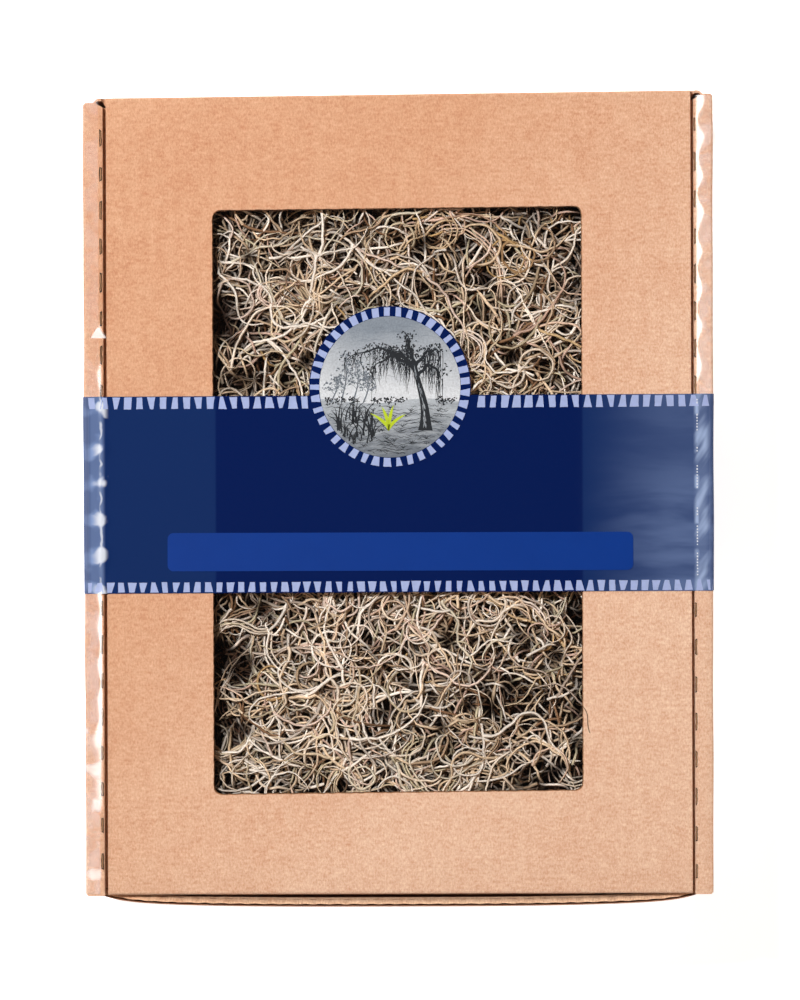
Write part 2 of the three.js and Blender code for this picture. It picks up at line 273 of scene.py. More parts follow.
def facing_out(piece: Piece, sharp: float = 0) -> Piece:
    """Merges doubled points and turns every face of a closed piece outwards.

    Args:
        piece: the piece, which is changed.
        sharp: edges over this angle in degrees stay crisp, or 0 to mark none.

    Returns:
        The same piece.
    """
    work = bmesh.new()
    work.from_mesh(piece.data)
    bmesh.ops.remove_doubles(work, verts=work.verts, dist=1e-7)
    bmesh.ops.recalc_face_normals(work, faces=work.faces)
    work.to_mesh(piece.data)
    work.free()
    if sharp:
        piece.data.set_sharp_from_angle(angle=math.radians(sharp))
    return piece


def skinned(name: str, rings: Rings, materials: Sequence[Material], sharp: float = 35,
            capped: bool = True, smooth: bool = True) -> Piece:
    """Makes a closed piece out of rings of points.

    Args:
        name: the piece's name.
        rings: rings with the same number of points, in order.
        materials: the skin's material and, where there is a second, the ends'.
        sharp: edges over this angle in degrees stay crisp, or 0 to mark none.
        capped: whether the first and last ring are filled.
        smooth: whether faces are shaded smooth.

    Returns:
        The new object.
    """
    points, faces, parts = swept(rings, capped)
    slots = parts if len(materials) > 1 else None
    return facing_out(new_piece(name, points, faces, materials, slots, smooth), sharp)


def grown(name: str, seed_mesh: Mesh, tree: Tree,
          settings: dict[str, Any]) -> Piece:
    """Runs a Geometry Nodes tree once and keeps its result as a plain mesh.

    Args:
        name: the piece's name.
        seed_mesh: the mesh that the tree starts from.
        tree: the Geometry Nodes tree.
        settings: input names to values.

    Returns:
        An object that holds the result, with no modifier left.
    """
    piece = linked(name, seed_mesh)
    modifier = piece.modifiers.new("grow", "NODES")
    modifier.node_group = tree
    for item in tree.interface.items_tree:
        if item.item_type == "SOCKET" and item.in_out == "INPUT" and item.name in settings:
            modifier[item.identifier] = settings[item.name]
    return flattened(piece)


def flattened(piece: Piece) -> Piece:
    """Gives a piece the mesh that its modifiers make, and removes them.

    Args:
        piece: the piece, which is changed.

    Returns:
        The same piece.
    """
    depsgraph = bpy.context.evaluated_depsgraph_get()
    mesh = bpy.data.meshes.new_from_object(piece.evaluated_get(depsgraph))
    mesh.name = piece.name
    piece.modifiers.clear()
    piece.data = mesh
    return piece


def dressed(piece: Piece, slot: str, *nodes: str) -> None:
    """Lets a piece ride on the pack, hides the solids it stands for, and reports it.

    Args:
        piece: the finished piece.
        slot: its material slot; not used.
        *nodes: the solids that it replaces.
    """
    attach(piece, BODY)
    if nodes:
        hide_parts(*nodes)
    triangles = sum(len(polygon.vertices) - 2 for polygon in piece.data.polygons)
    log.info("%s: %d triangles", piece.name, triangles)


# ---------------------------------------------------------------- finishes


@dataclass(frozen=True)
class Finish:
    """What all finishes share: a name, and the way from their nodes to a material."""

    name: str

    def material(self) -> Material:
        """Builds the material out of the finish's own surface.

        Returns:
            The material.
        """
        material = bpy.data.materials.new(self.name)
        material.use_nodes = True
        material.node_tree.nodes.clear()
        add = partial(add_node, material.node_tree)
        add("ShaderNodeOutputMaterial", self.surface(add, add("ShaderNodeTexCoord").outputs["Object"]))
        return material

    def surface(self, add: Adder, place: Socket) -> Node:
        """The finish's shader.

        Args:
            add: adds a node to the material.
            place: the Object coordinates.

        Returns:
            The shader's node.
        """
        raise NotImplementedError


@dataclass(frozen=True)
class KraftLiner(Finish):
    """Unbleached kraft linerboard: pressed wood fibre, so a matt tan with fine flecks, a cloudy
    mottle and the faint ribs of the fluting that the liner is glued to. It is painted darker and
    warmer at the top left and paler and pinker towards the lower right: a painted reflection of
    the film's haze."""

    name: str = "kraft_linerboard"
    dark: str = "#d89f7d"
    light: str = "#ffe2c7"
    # The tint multiplied in towards the top left, leaving the lower right paler: painted reflection.
    painted_cast_tint: str = "#f0decf"
    fibre_mm: float = 0.6
    mottle_mm: float = 6.0
    cloud_mm: float = 45.0
    flute_mm: float = 6.35
    painted_cast_slant: float = -0.7
    painted_cast_reach: float = 0.08
    roughness: float = 0.85
    # Names a point attribute that multiplies the colour: painted shade and highlight where a piece sets it.
    shade: str = ""

    def surface(self, add: Adder, place: Socket) -> Node:
        """The board's paper, with painted shade and highlight from the attribute that shade names.

        Args:
            add: adds a node to the material.
            place: the Object coordinates.

        Returns:
            The shader's node.
        """
        tone: Any = 0.5
        for size, stretch, share in (
            (self.fibre_mm, (1.0, 0.5, 1.0), 1.5), (self.fibre_mm * 2.0, (0.35, 1.0, 1.0), 0.85),
            (self.mottle_mm, (1.0, 1.0, 1.0), 0.45), (self.cloud_mm, (1.0, 1.0, 1.0), 0.35),
        ):
            noise = add(Kind.NOISE, add(Kind.STRETCH, place, scale=stretch), scale=per_metre(size),
                        detail=3.0, roughness=0.65)
            tone = add(Kind.TIMES_PLUS, add(Kind.MINUS, noise, 0.5), share, tone)
        x, y, _ = add(Kind.SPLIT, place).outputs
        rib = add(Kind.SINE, add(Kind.TIMES, x, TURN / (self.flute_mm * MM)))
        colour = add(Kind.MIXED, add(Kind.TIMES_PLUS, rib, 0.02, tone), self.dark, self.light)
        # Painted reflection: the colour is multiplied darker and warmer towards the top left, leaving the
        # lower right paler and pinker, as under the film's hazy reflection.
        slant = add(Kind.TIMES_PLUS, y, self.painted_cast_slant, x)
        painted_cast = add(Kind.RANGE, slant, self.painted_cast_reach, -self.painted_cast_reach)
        colour = add(Kind.MULTIPLIED, painted_cast, colour, self.painted_cast_tint)
        # Painted shade and highlight: the colour is multiplied by the named attribute.
        if self.shade:
            painted_light_factor = add(Kind.ATTRIBUTE, attribute_name=self.shade).outputs["Color"]
            colour = add(Kind.MULTIPLIED, 1.0, colour, painted_light_factor)
        relief = add(Kind.TIMES_PLUS, rib, 0.12, noise)
        bump = add(Kind.BUMP, height=relief, strength=0.25, distance=0.12 * MM)
        return add(Kind.PAINT, colour, normal=bump, roughness=self.roughness, specular_ior_level=0.2)


@dataclass(frozen=True)
class CutBoard(Finish):
    """The sawn edge of corrugated board: two liners with the waved medium between them, and the
    hollows beside it painted dark as shade. The flutes run along Y, so the wave is drawn across X."""

    name: str = "cut_corrugated_edge"
    paper: str = "#c08a60"
    hollow_shade: str = "#4a2d1a"
    flute_mm: float = 6.35
    caliper_mm: float = 2.8
    paper_mm: float = 0.45
    fuzz_mm: float = 0.5
    top: float = 0.0
    roughness: float = 0.9

    def surface(self, add: Adder, place: Socket) -> Node:
        """The three papers, with painted shade between them.

        Args:
            add: adds a node to the material.
            place: the Object coordinates.

        Returns:
            The shader's node.
        """
        x, _, z = add(Kind.SPLIT, place).outputs
        middle = self.top - self.caliper_mm * MM / 2
        swing = (self.caliper_mm / 2 - self.paper_mm) * MM
        phase = add(Kind.TIMES, x, TURN / (self.flute_mm * MM))
        wave = add(Kind.TIMES_PLUS, add(Kind.SINE, phase), swing, middle)
        off_wave = add(Kind.SIZE, add(Kind.MINUS, z, wave))
        on_wave = add(Kind.BELOW, off_wave, self.paper_mm * MM * 0.6)
        on_liner = add(Kind.ABOVE, add(Kind.SIZE, add(Kind.MINUS, z, middle)), swing)
        fuzz = add(Kind.NOISE, place, scale=per_metre(self.fuzz_mm), detail=3.0)
        share = add(Kind.TIMES, add(Kind.MOST, on_wave, on_liner), add(Kind.PLUS, fuzz, 0.35))
        # Painted shade: the flutes' hollows are a dark colour, not open.
        colour = add(Kind.MIXED, share, self.hollow_shade, self.paper)
        return add(Kind.PAINT, colour, roughness=self.roughness)


@dataclass(frozen=True)
class DriedFibre(Finish):
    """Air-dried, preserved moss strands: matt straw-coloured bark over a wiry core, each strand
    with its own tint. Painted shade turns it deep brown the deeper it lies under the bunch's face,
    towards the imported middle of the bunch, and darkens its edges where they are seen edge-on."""

    name: str = "dried_moss_fibre"
    # The colour that painted shade turns a strand to where it lies deepest.
    deep: str = "#1f0a02"
    sheen: str = "#d08850"
    grain_mm: float = 1.6
    edge_loss: float = 0.6
    roughness: float = 0.45

    def surface(self, add: Adder, place: Socket) -> Node:
        """The bark, which reads each strand's tint and its painted depth shade, with painted shade at its
        edges.

        Args:
            add: adds a node to the material.
            place: the Object coordinates.

        Returns:
            The shader's node.
        """
        strand = partial(add, Kind.ATTRIBUTE, attribute_type="GEOMETRY")
        tint = strand(attribute_name="tint").outputs["Color"]
        painted_depth_shade = strand(attribute_name="painted_depth_shade").outputs["Fac"]
        grain = add(Kind.NOISE, place, scale=per_metre(self.grain_mm), detail=3.0, roughness=0.6)
        # Painted shade: darker where a strand is seen edge-on.
        edge = add("ShaderNodeLayerWeight", 0.5).outputs["Facing"]
        rim = add(Kind.TIMES_PLUS, add(Kind.TIMES, edge, edge), -self.edge_loss, 1.0)
        shade = add(Kind.TIMES, add(Kind.TIMES_PLUS, grain, 0.9, 0.64), rim)
        colour = add(Kind.MULTIPLIED, 1.0, tint, add(Kind.GREY, shade, shade, shade))
        # Painted shade: towards deep brown the deeper the point lies.
        colour = add(Kind.MIXED, painted_depth_shade, colour, self.deep)
        bump = add(Kind.BUMP, height=grain, strength=0.35, distance=0.2 * MM)
        return add(Kind.PAINT, colour, normal=bump, roughness=self.roughness, specular_ior_level=0.35,
                   specular_tint=self.sheen)


@dataclass(frozen=True)
class PackedFibre(Finish):
    """The pressed middle of the bunch: matted fibre painted near-black, as the shade seen in the depth
    between strands.
    """

    name: str = "packed_moss_mat"
    dark: str = "#070402"
    light: str = "#26180f"
    strand_mm: float = 3.0
    roughness: float = 0.95

    def surface(self, add: Adder, place: Socket) -> Node:
        """The mat, with the strands pressed into it.

        Args:
            add: adds a node to the material.
            place: the Object coordinates.

        Returns:
            The shader's node.
        """
        mat = add(Kind.NOISE, place, scale=per_metre(self.strand_mm), detail=5.0, distortion=2.5)
        colour = add(Kind.MIXED, mat, self.dark, self.light)
        bump = add(Kind.BUMP, height=mat, strength=0.8, distance=1.2 * MM)
        return add(Kind.PAINT, colour, normal=bump, roughness=self.roughness)


@dataclass(frozen=True)
class ClearFilm(Finish):
    """Clear polyolefin shrink film: the lamps mirrored in its folds show, and painted light on its
    strips. Its two faces share the mirror's strength. It clings to the board along the box's outer
    edges, and mirrors hardly anything there. Over the side strips it is crinkled and a little milky,
    and the haze is partly the film's milkiness and partly painted reflection: it is given for the
    left strip's front and back end, then the right strip's. The gathers along the left crease and
    the dent beside it are painted highlights. The gathers have a pitch, a phase, a middle and a
    reach; the dent has a tip in X and Y, a length and a spread."""

    name: str = "clear_shrink_film"
    # The colour of the strips' haze: the film's milkiness and painted reflection.
    haze_tint: str = "#dcd7d8"
    # The colour of the painted highlights at the gathers and the dent.
    highlight_tint: str = "#fff8f2"
    ior: float = 1.5
    most_mirror: float = 0.09
    roughness: float = 0.26
    cling_from: float = 0.1176
    cling_to: float = 0.1188
    strip_from: float = 0.1141
    strip_to: float = 0.1198
    haze: tuple[float, float, float, float] = (0.2, 0.1, 0.0, 0.2)
    haze_change: float = 20 * MM
    gathers: tuple[float, float, float, float] = (13.8 * MM, 3.85, 116.7 * MM, 3.0 * MM)
    gathers_y: tuple[float, float] = (-78 * MM, -90 * MM)
    gathers_x: tuple[float, float] = (-113.5 * MM, -114.7 * MM)
    dent: tuple[float, float, float, float] = (-114.6 * MM, 66.8 * MM, 4.9 * MM, 0.62)
    crinkle_mm: float = 9.0
    patch_mm: float = 8.0
    soft_mm: float = 5.5
    top: float = 0.0

    def surface(self, add: Adder, place: Socket) -> Node:
        """A weak mirror by Fresnel over plain see-through, with milky haze and painted reflection on the
        strips and painted highlights at the left crease.

        Args:
            add: adds a node to the material.
            place: the Object coordinates.

        Returns:
            The shader's node.
        """
        x, y, z = add(Kind.SPLIT, place).outputs
        wide = add(Kind.SIZE, x)
        crinkle = add(Kind.NOISE, place, scale=per_metre(self.crinkle_mm), detail=2.0)
        bump = add(Kind.BUMP, height=crinkle, strength=0.2, distance=0.5 * MM)
        fresnel = add("ShaderNodeFresnel", ior=self.ior, normal=bump)
        share = add(Kind.LEAST, add(Kind.TIMES, fresnel, 0.8), self.most_mirror)
        clings = add(Kind.TIMES, add(Kind.RANGE, wide, self.cling_from, self.cling_to),
                     add(Kind.RANGE, z, self.top - 3.0 * MM, self.top - 1.2 * MM))
        share = add(Kind.TIMES, share, add(Kind.TIMES_PLUS, clings, -0.92, 1.0))
        gloss = add("ShaderNodeBsdfAnisotropic", color="#ffffff", roughness=self.roughness, normal=bump,
                    distribution="BECKMANN")
        film = add(Kind.LAYERED, share, add("ShaderNodeBsdfTransparent"), gloss)
        gather_highlight = self.painted_highlights(add, place, x, y)
        haze = add(Kind.TIMES, self.hazed(add, place, x, y), self.on_strip(add, wide, z))
        # Painted light: the haze and the highlights are a pale matt layer mixed over the film.
        milk_and_painted_light = add(Kind.MOST, haze, add(Kind.TIMES, gather_highlight, self.on_face(add, z)))
        paleness = add(Kind.MIXED, gather_highlight, self.haze_tint, self.highlight_tint)
        return add(Kind.LAYERED, milk_and_painted_light, film, add("ShaderNodeBsdfDiffuse", color=paleness))

    def on_face(self, add: Adder, z: Socket) -> Node:
        """1 on the box's upper face, and 0 below it."""
        return add(Kind.EASED, z, self.top - 2.0 * MM, self.top - 0.5 * MM)

    def on_strip(self, add: Adder, wide: Node, z: Socket) -> Node:
        """1 on the side strips, and less at their outer edges.

        Args:
            add: adds a node to the material.
            wide: distances from the box's middle.
            z: heights.

        Returns:
            The share.
        """
        inner = add(Kind.EASED, wide, self.strip_from, self.strip_from + 0.9 * MM)
        outer = add(Kind.EASED, wide, self.strip_to, self.cling_to, 0.3, 1.0)
        return add(Kind.TIMES, add(Kind.TIMES, inner, self.on_face(add, z)), outer)

    def hazed(self, add: Adder, place: Socket, x: Socket, y: Socket) -> Node:
        """The haze of both strips from end to end, in patches: the film's milkiness, with painted reflection.

        Args:
            add: adds a node to the material.
            place: the Object coordinates.
            x: places across the box.
            y: places along the box.

        Returns:
            The haze's share.
        """
        reach = self.haze_change
        ends = [add(Kind.EASED, y, -reach, reach, *pair) for pair in (self.haze[:2], self.haze[2:])]
        patch = add(Kind.NOISE, place, scale=per_metre(self.patch_mm), detail=2.0, distortion=0.5)
        return add(Kind.TIMES, add(Kind.EASED, x, -50 * MM, 50 * MM, *ends),
                   add(Kind.EASED, patch, 0.36, 0.6, 0.45, 1.35))

    def painted_highlights(self, add: Adder, place: Socket, x: Socket, y: Socket) -> Node:
        """The painted highlights of the gathers along the left crease's front end, and of the dent beside its
        back end.

        Args:
            add: adds a node to the material.
            place: the Object coordinates.
            x: places across the box.
            y: places along the box.

        Returns:
            The painted highlights' share.
        """
        pitch, phase, middle, reach = self.gathers
        beat = add(Kind.SINE, add(Kind.TIMES_PLUS, y, TURN / pitch, phase))
        astray = add(Kind.OVER, add(Kind.PLUS, x, middle), reach)
        soft = add(Kind.NOISE, place, scale=per_metre(self.soft_mm), detail=1.0, distortion=0.25)
        patchy = add(Kind.TIMES_PLUS, soft, 1.8, -0.4)
        dome = add(Kind.TIMES_PLUS, add(Kind.TIMES, astray, astray), -0.2, patchy)
        gather_highlight = add(Kind.EASED, add(Kind.TIMES_PLUS, beat, 0.22, dome), 0.3, 1.1, 0.0, 1.0)
        within = add(Kind.TIMES, add(Kind.EASED, y, *self.gathers_y), add(Kind.EASED, x, *self.gathers_x))
        gather_highlight = add(Kind.TIMES, add(Kind.TIMES, gather_highlight, within), add(Kind.BELOW, x, 0.0))
        apex_x, apex_y, high, spread = self.dent
        down = add(Kind.MINUS, apex_y, y)
        beside = add(Kind.TIMES_PLUS, down, -spread, add(Kind.SIZE, add(Kind.MINUS, x, apex_x)))
        dent = add(Kind.TIMES, add(Kind.EASED, beside, 0.7 * MM, -0.9 * MM),
                   add(Kind.EASED, down, high, high - 0.6 * MM))
        return add(Kind.MOST, gather_highlight, add(Kind.TIMES, dent, add(Kind.EASED, down, 0.0, 1.6 * MM)))


@dataclass(frozen=True)
class PrintedFilm(Finish):
    """Navy flexo ink on clear film: dark over the open window, a little greyer where pale board
    lies close behind it, with painted reflections and highlights where the film is drawn over the
    box's long edges."""

    name: str = "navy_printed_film"
    over_window: str = "#021c57"
    over_board: str = "#112e65"
    # Colours of the painted reflection haze, the right strip's painted crease reflections and the left
    # crease's painted highlight.
    reflection_tint: str = "#8fa9da"
    crease_reflection: str = "#a9bfe6"
    crease_white: str = "#dfe6f2"
    window_half: float = 0.070
    # Where the painted reflection over the band's right part starts and ends, and its most.
    reflection_from: float = 0.066
    reflection_to: float = 0.112
    reflection_most: float = 0.34
    fan: float = 1.0
    top: float = 0.0
    beat_pitch: float = 13.8 * MM
    beat_phase: float = 4.78
    left_edge: float = -0.1121
    right_edge: float = 0.1131
    crease_x: float = -0.1139
    edge_from: float = 0.1178
    edge_to: float = 0.119
    stray: float = 3.6 * MM
    blob_reach: float = 4.2 * MM
    streak_mm: float = 8.5
    patch_mm: float = 6.0
    crease_mm: float = 5.0
    roughness: float = 0.16

    def surface(self, add: Adder, place: Socket) -> Node:
        """The ink, with the two sides' painted reflections and highlights laid over it.

        Args:
            add: adds a node to the material.
            place: the Object coordinates.

        Returns:
            The shader's node.
        """
        x, y, z = add(Kind.SPLIT, place).outputs
        wide = add(Kind.SIZE, x)
        backed = add(Kind.EASED, wide, self.window_half - 0.6 * MM, self.window_half + 0.6 * MM)
        streak = add(Kind.NOISE, add(Kind.STRETCH, place, scale=(0.22, 1.0, 1.0)),
                     scale=per_metre(self.streak_mm), detail=3.0, distortion=0.3)
        back_half = add(Kind.PLUS, add(Kind.EASED, y, 24 * MM, -12 * MM, 0.0, 0.5), 0.25)
        crisp = add(Kind.TIMES, add(Kind.EASED, streak, 0.3, 0.72), back_half)
        # Painted reflection: a streaked pale haze over the band's right part.
        drawn = add(Kind.TIMES, add(Kind.EASED, x, self.reflection_from, self.reflection_to, 0.0, self.reflection_most),
                    add(Kind.TIMES_PLUS, crisp, 1.0, 0.44))
        patch = add(Kind.NOISE, place, scale=per_metre(self.patch_mm), detail=1.5)
        beat = add(Kind.SINE, add(Kind.TIMES_PLUS, y, TURN / self.beat_pitch, self.beat_phase))
        blob = add(Kind.EASED, add(Kind.TIMES_PLUS, beat, 0.17, patch), 0.46, 0.72)
        on_face = add(Kind.EASED, z, self.top - 14.0 * MM, self.top - 2.0 * MM)
        haze = add(Kind.TIMES, add(Kind.MOST, drawn, self.left_painted_reflection(add, x, blob)), on_face)
        # Painted highlight along the left crease, with its drops.
        highlight_share = add(Kind.TIMES, self.left_crease(add, x, patch, blob), on_face)
        ink = add(Kind.MIXED, backed, self.over_window, self.over_board)
        right = self.right_painted_reflection(add, place, x, blob)
        for share, colour in ((haze, self.reflection_tint), (right, self.crease_reflection), (highlight_share, self.crease_white)):
            ink = add(Kind.MIXED, share, ink, colour)
        dull = add(Kind.TIMES_PLUS, add(Kind.EASED, wide, self.edge_from, self.edge_to), 0.5, self.roughness)
        bump = add(Kind.BUMP, height=streak, strength=0.12, distance=0.4 * MM)
        return add(Kind.PAINT, ink, normal=bump, roughness=dull, specular_ior_level=0.5)

    def left_painted_reflection(self, add: Adder, x: Socket, blob: Node) -> Node:
        """The painted reflection haze over the left strip.

        Args:
            add: adds a node to the material.
            x: places across the box.
            blob: the drops of painted highlight.

        Returns:
            The haze's share.
        """
        edge = self.left_edge
        outer = add(Kind.TIMES_PLUS, add(Kind.EASED, x, edge - 7.0 * MM, edge - 5.0 * MM), 0.6, 0.4)
        mottle = add(Kind.TIMES, add(Kind.TIMES_PLUS, blob, 0.5, 0.46), outer)
        return add(Kind.TIMES, add(Kind.EASED, x, edge + 0.3 * MM, edge - 1.5 * MM, 0.0, 0.95), mottle)

    def left_crease(self, add: Adder, x: Socket, patch: Node, blob: Node) -> Node:
        """The painted highlight along the left crease: a bright thread, with its drops.

        Args:
            add: adds a node to the material.
            x: places across the box.
            patch: a slow noise.
            blob: the drops of painted highlight.

        Returns:
            The thread's share.
        """
        strayed = add(Kind.TIMES_PLUS, patch, self.stray, -0.5 * self.stray + self.crease_x)
        off = add(Kind.SIZE, add(Kind.MINUS, x, strayed))
        thread = add(Kind.TIMES, add(Kind.EASED, off, 0.6 * MM, 0.15 * MM, 0.0, 0.75),
                     add(Kind.EASED, patch, 0.4, 0.56))
        off_drop = add(Kind.MINUS, add(Kind.TIMES_PLUS, off, 1.0 / self.blob_reach, 1.0), blob)
        drop = add(Kind.TIMES, add(Kind.EASED, off_drop, 1.05, 0.1),
                   add(Kind.EASED, x, self.crease_x + 3.4 * MM, self.crease_x + 1.2 * MM))
        return add(Kind.MOST, thread, drop)

    def right_painted_reflection(self, add: Adder, place: Socket, x: Socket, blob: Node) -> Node:
        """The painted reflections of the fanned creases over the right strip, and the painted highlight drops
        at its crease.

        Args:
            add: adds a node to the material.
            place: the Object coordinates.
            x: places across the box.
            blob: the drops of painted highlight.

        Returns:
            The creases' share.
        """
        edge = self.right_edge
        fanned = add(Kind.STRETCH, place, rotation=(0.0, 0.0, self.fan), scale=(5.0, 1.0, 1.0),
                     vector_type="TEXTURE")
        creases = add(Kind.NOISE, fanned, scale=per_metre(self.crease_mm), detail=2.0)
        crease = add(Kind.EASED, creases, 0.46, 0.7)
        right = add(Kind.TIMES, add(Kind.EASED, x, edge - 1.2 * MM, edge + 0.8 * MM),
                    add(Kind.TIMES_PLUS, crease, 0.8, 0.14))
        right = add(Kind.TIMES, right, add(Kind.EASED, x, edge + 6.4 * MM, edge + 3.2 * MM))
        pulled = add(Kind.SIZE, add(Kind.MINUS, x, edge + 0.5 * MM))
        return add(Kind.MOST, right, add(Kind.TIMES, add(Kind.EASED, pulled, 1.5 * MM, 0.0), blob))


@dataclass(frozen=True)
class PlainInk(Finish):
    """One flat flexo ink: an even colour with the faint unevenness of a printed solid."""

    colour: str
    uneven: float = 0.12
    grain_mm: float = 1.5
    roughness: float = 0.4

    def surface(self, add: Adder, place: Socket) -> Node:
        """The ink, a little lighter and darker from place to place.

        Args:
            add: adds a node to the material.
            place: the Object coordinates.

        Returns:
            The shader's node.
        """
        grain = add(Kind.NOISE, place, scale=per_metre(self.grain_mm), detail=2.0)
        shade = add(Kind.TIMES_PLUS, grain, 2 * self.uneven, 1.0 - self.uneven)
        colour = add(Kind.MULTIPLIED, 1.0, self.colour, add(Kind.GREY, shade, shade, shade))
        return add(Kind.PAINT, colour, roughness=self.roughness, specular_ior_level=0.3)


@dataclass(frozen=True)
class EngravedScene(Finish):
    """The badge's ground: a grey engraved sky that pales to the horizon, over streaked land that
    darkens to the foot, all with the fine grain of a printed engraving."""

    name: str = "engraved_badge_ground"
    zenith: str = "#8b96a2"
    horizon: str = "#e2e7ec"
    land: str = "#bcc4cb"
    foot: str = "#737b84"
    centre_y: float = 0.0
    radius: float = 0.027
    horizon_share: float = -0.2
    swell: float = 0.9 * MM
    swells_per_metre: float = 150.0
    cloud_mm: float = 16.0
    cloud_swing: float = 16 * MM
    grain_mm: float = 0.6
    furrow_mm: float = 2.2
    roughness: float = 0.35

    def surface(self, add: Adder, place: Socket) -> Node:
        """The sky over the land, under one grain.

        Args:
            add: adds a node to the material.
            place: the Object coordinates.

        Returns:
            The shader's node.
        """
        x, y, _ = add(Kind.SPLIT, place).outputs
        cloud = add(Kind.NOISE, place, scale=per_metre(self.cloud_mm), detail=4.0)
        grain = add(Kind.NOISE, place, scale=per_metre(self.grain_mm), detail=2.0)
        furrow = add(Kind.NOISE, add(Kind.STRETCH, place, scale=(0.16, 1.0, 1.0)),
                     scale=per_metre(self.furrow_mm), detail=4.0, roughness=0.7)
        line = self.centre_y + self.horizon_share * self.radius
        swell = add(Kind.TIMES, add(Kind.SINE, add(Kind.TIMES, x, self.swells_per_metre)), self.swell)
        height = add(Kind.MINUS, y, add(Kind.PLUS, swell, line))
        bent = add(Kind.TIMES_PLUS, add(Kind.MINUS, cloud, 0.5), self.cloud_swing, height)
        up = add(Kind.RANGE, bent, 0.1 * self.radius, 1.1 * self.radius)
        sky = add(Kind.MIXED, up, self.horizon, self.zenith)
        down = add(Kind.RANGE, height, 0.0, -0.75 * self.radius)
        streaked = add(Kind.TIMES_PLUS, add(Kind.MINUS, furrow, 0.5), 2.4, down)
        land = add(Kind.MIXED, streaked, self.land, self.foot)
        picture = add(Kind.MIXED, add(Kind.BELOW, height, 0.0), sky, land)
        shade = add(Kind.TIMES_PLUS, grain, 0.6, 0.68)
        colour = add(Kind.MULTIPLIED, 1.0, picture, add(Kind.GREY, shade, shade, shade))
        return add(Kind.PAINT, colour, roughness=self.roughness, specular_ior_level=0.3)


@dataclass(frozen=True)
class StudioPaper(Finish):
    """The floor: a sheet of white background paper with hardly any tooth, lit a little from below."""

    name: str = "white_background_paper"
    colour: str = "#fbfbfb"
    glow: float = 0.9
    tooth_mm: float = 2.0
    roughness: float = 0.9

    def surface(self, add: Adder, place: Socket) -> Node:
        """The paper, with its own faint glow.

        Args:
            add: adds a node to the material.
            place: the Object coordinates.

        Returns:
            The shader's node.
        """
        tooth = add(Kind.NOISE, place, scale=per_metre(self.tooth_mm))
        bump = add(Kind.BUMP, height=tooth, strength=0.03, distance=0.1 * MM)
        return add(Kind.PAINT, self.colour, normal=bump, roughness=self.roughness, specular_ior_level=0.1,
                   emission_color=self.colour, emission_strength=self.glow)


# ---------------------------------------------------------------- sizes shared by the box's pieces


@dataclass(frozen=True)
class BoxSizes:
    """The mailer's sizes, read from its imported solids, with the board's own facts."""

    low: Vector
    high: Vector
    lid_low: Vector
    lid_high: Vector
    caliper: float = 2.8 * MM
    ply_gap: float = 0.3 * MM
    fold: float = 1.0 * MM
    front_bow: float = 4.65 * MM
    front_bow_rise: float = 50 * MM
    window_width: float = 140.6 * MM
    window_length: float = 222.6 * MM
    window_x: float = -0.55 * MM
    window_off_middle: float = -2.2 * MM
    window_corner: float = 2.9 * MM
    warp: float = 0.12 * MM
    side_skew: float = 0.5 * MM
    right_draw_in: float = 0.35 * MM

    def side_shift(self, side: int, y: Array) -> Array:
        """How far a side wall stands out, a little warped and askew.

        Args:
            side: -1 for the left wall and 1 for the right wall.
            y: places along the box.

        Returns:
            The shift at each place.
        """
        share = (y - self.lid_low.y) / (self.lid_high.y - self.lid_low.y)
        askew = self.side_skew * share - self.right_draw_in if side > 0 else self.side_skew * share
        return self.warp * waves(y, (83, 47), 5 + side) + askew

    @property
    def inner_half(self) -> float:
        """Half the clear width between the side walls."""
        return self.high.x - 2 * self.caliper - self.ply_gap

    @property
    def lid_under(self) -> float:
        """Height of the lid's underside."""
        return self.high.z - self.caliper

    @property
    def middle_y(self) -> float:
        """The lid's middle along the box."""
        return (self.lid_low.y + self.lid_high.y) / 2

    @property
    def window_y(self) -> float:
        """The window's middle along the box."""
        return self.middle_y + self.window_off_middle


def measured_box() -> BoxSizes:
    """Reads the box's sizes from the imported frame."""
    return BoxSizes(*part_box("mailer_tray"), *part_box("mailer_lid"))


def arc(centre: tuple[float, float], radius: float, start: float, end: float, steps: int) -> list:
    """Points of a round fold, from one angle to another in degrees."""
    angles = np.radians(np.linspace(start, end, steps + 1))
    return [(centre[0] + radius * math.cos(a), centre[1] + radius * math.sin(a)) for a in angles]


def rounded_loop(width: float, length: float, corner: float, step: float = 0.0) -> Array:
    """Points of a rectangle with round corners, centred on the origin.

    Args:
        width: its size in X.
        length: its size in Y.
        corner: its corners' radius.
        step: between points spread evenly along it, or 0 for its corners' points alone.

    Returns:
        The points, anticlockwise.
    """
    w, h = width / 2 - corner, length / 2 - corner
    points = np.array([point for number, centre in enumerate(((w, h), (-w, h), (-w, -h), (w, -h)))
                       for point in arc(centre, corner, 90 * number, 90 * number + 90, 8)])
    if not step:
        return points
    closed = np.vstack([points, points[:1]])
    run = np.concatenate([[0], np.cumsum(np.hypot(*np.diff(closed, axis=0).T))])
    even = np.linspace(0, run[-1], round(run[-1] / step) + 1)[:-1]
    return np.stack([np.interp(even, run, closed[:, 0]), np.interp(even, run, closed[:, 1])], 1)


# ---------------------------------------------------------------- rows of printed or cut dashes


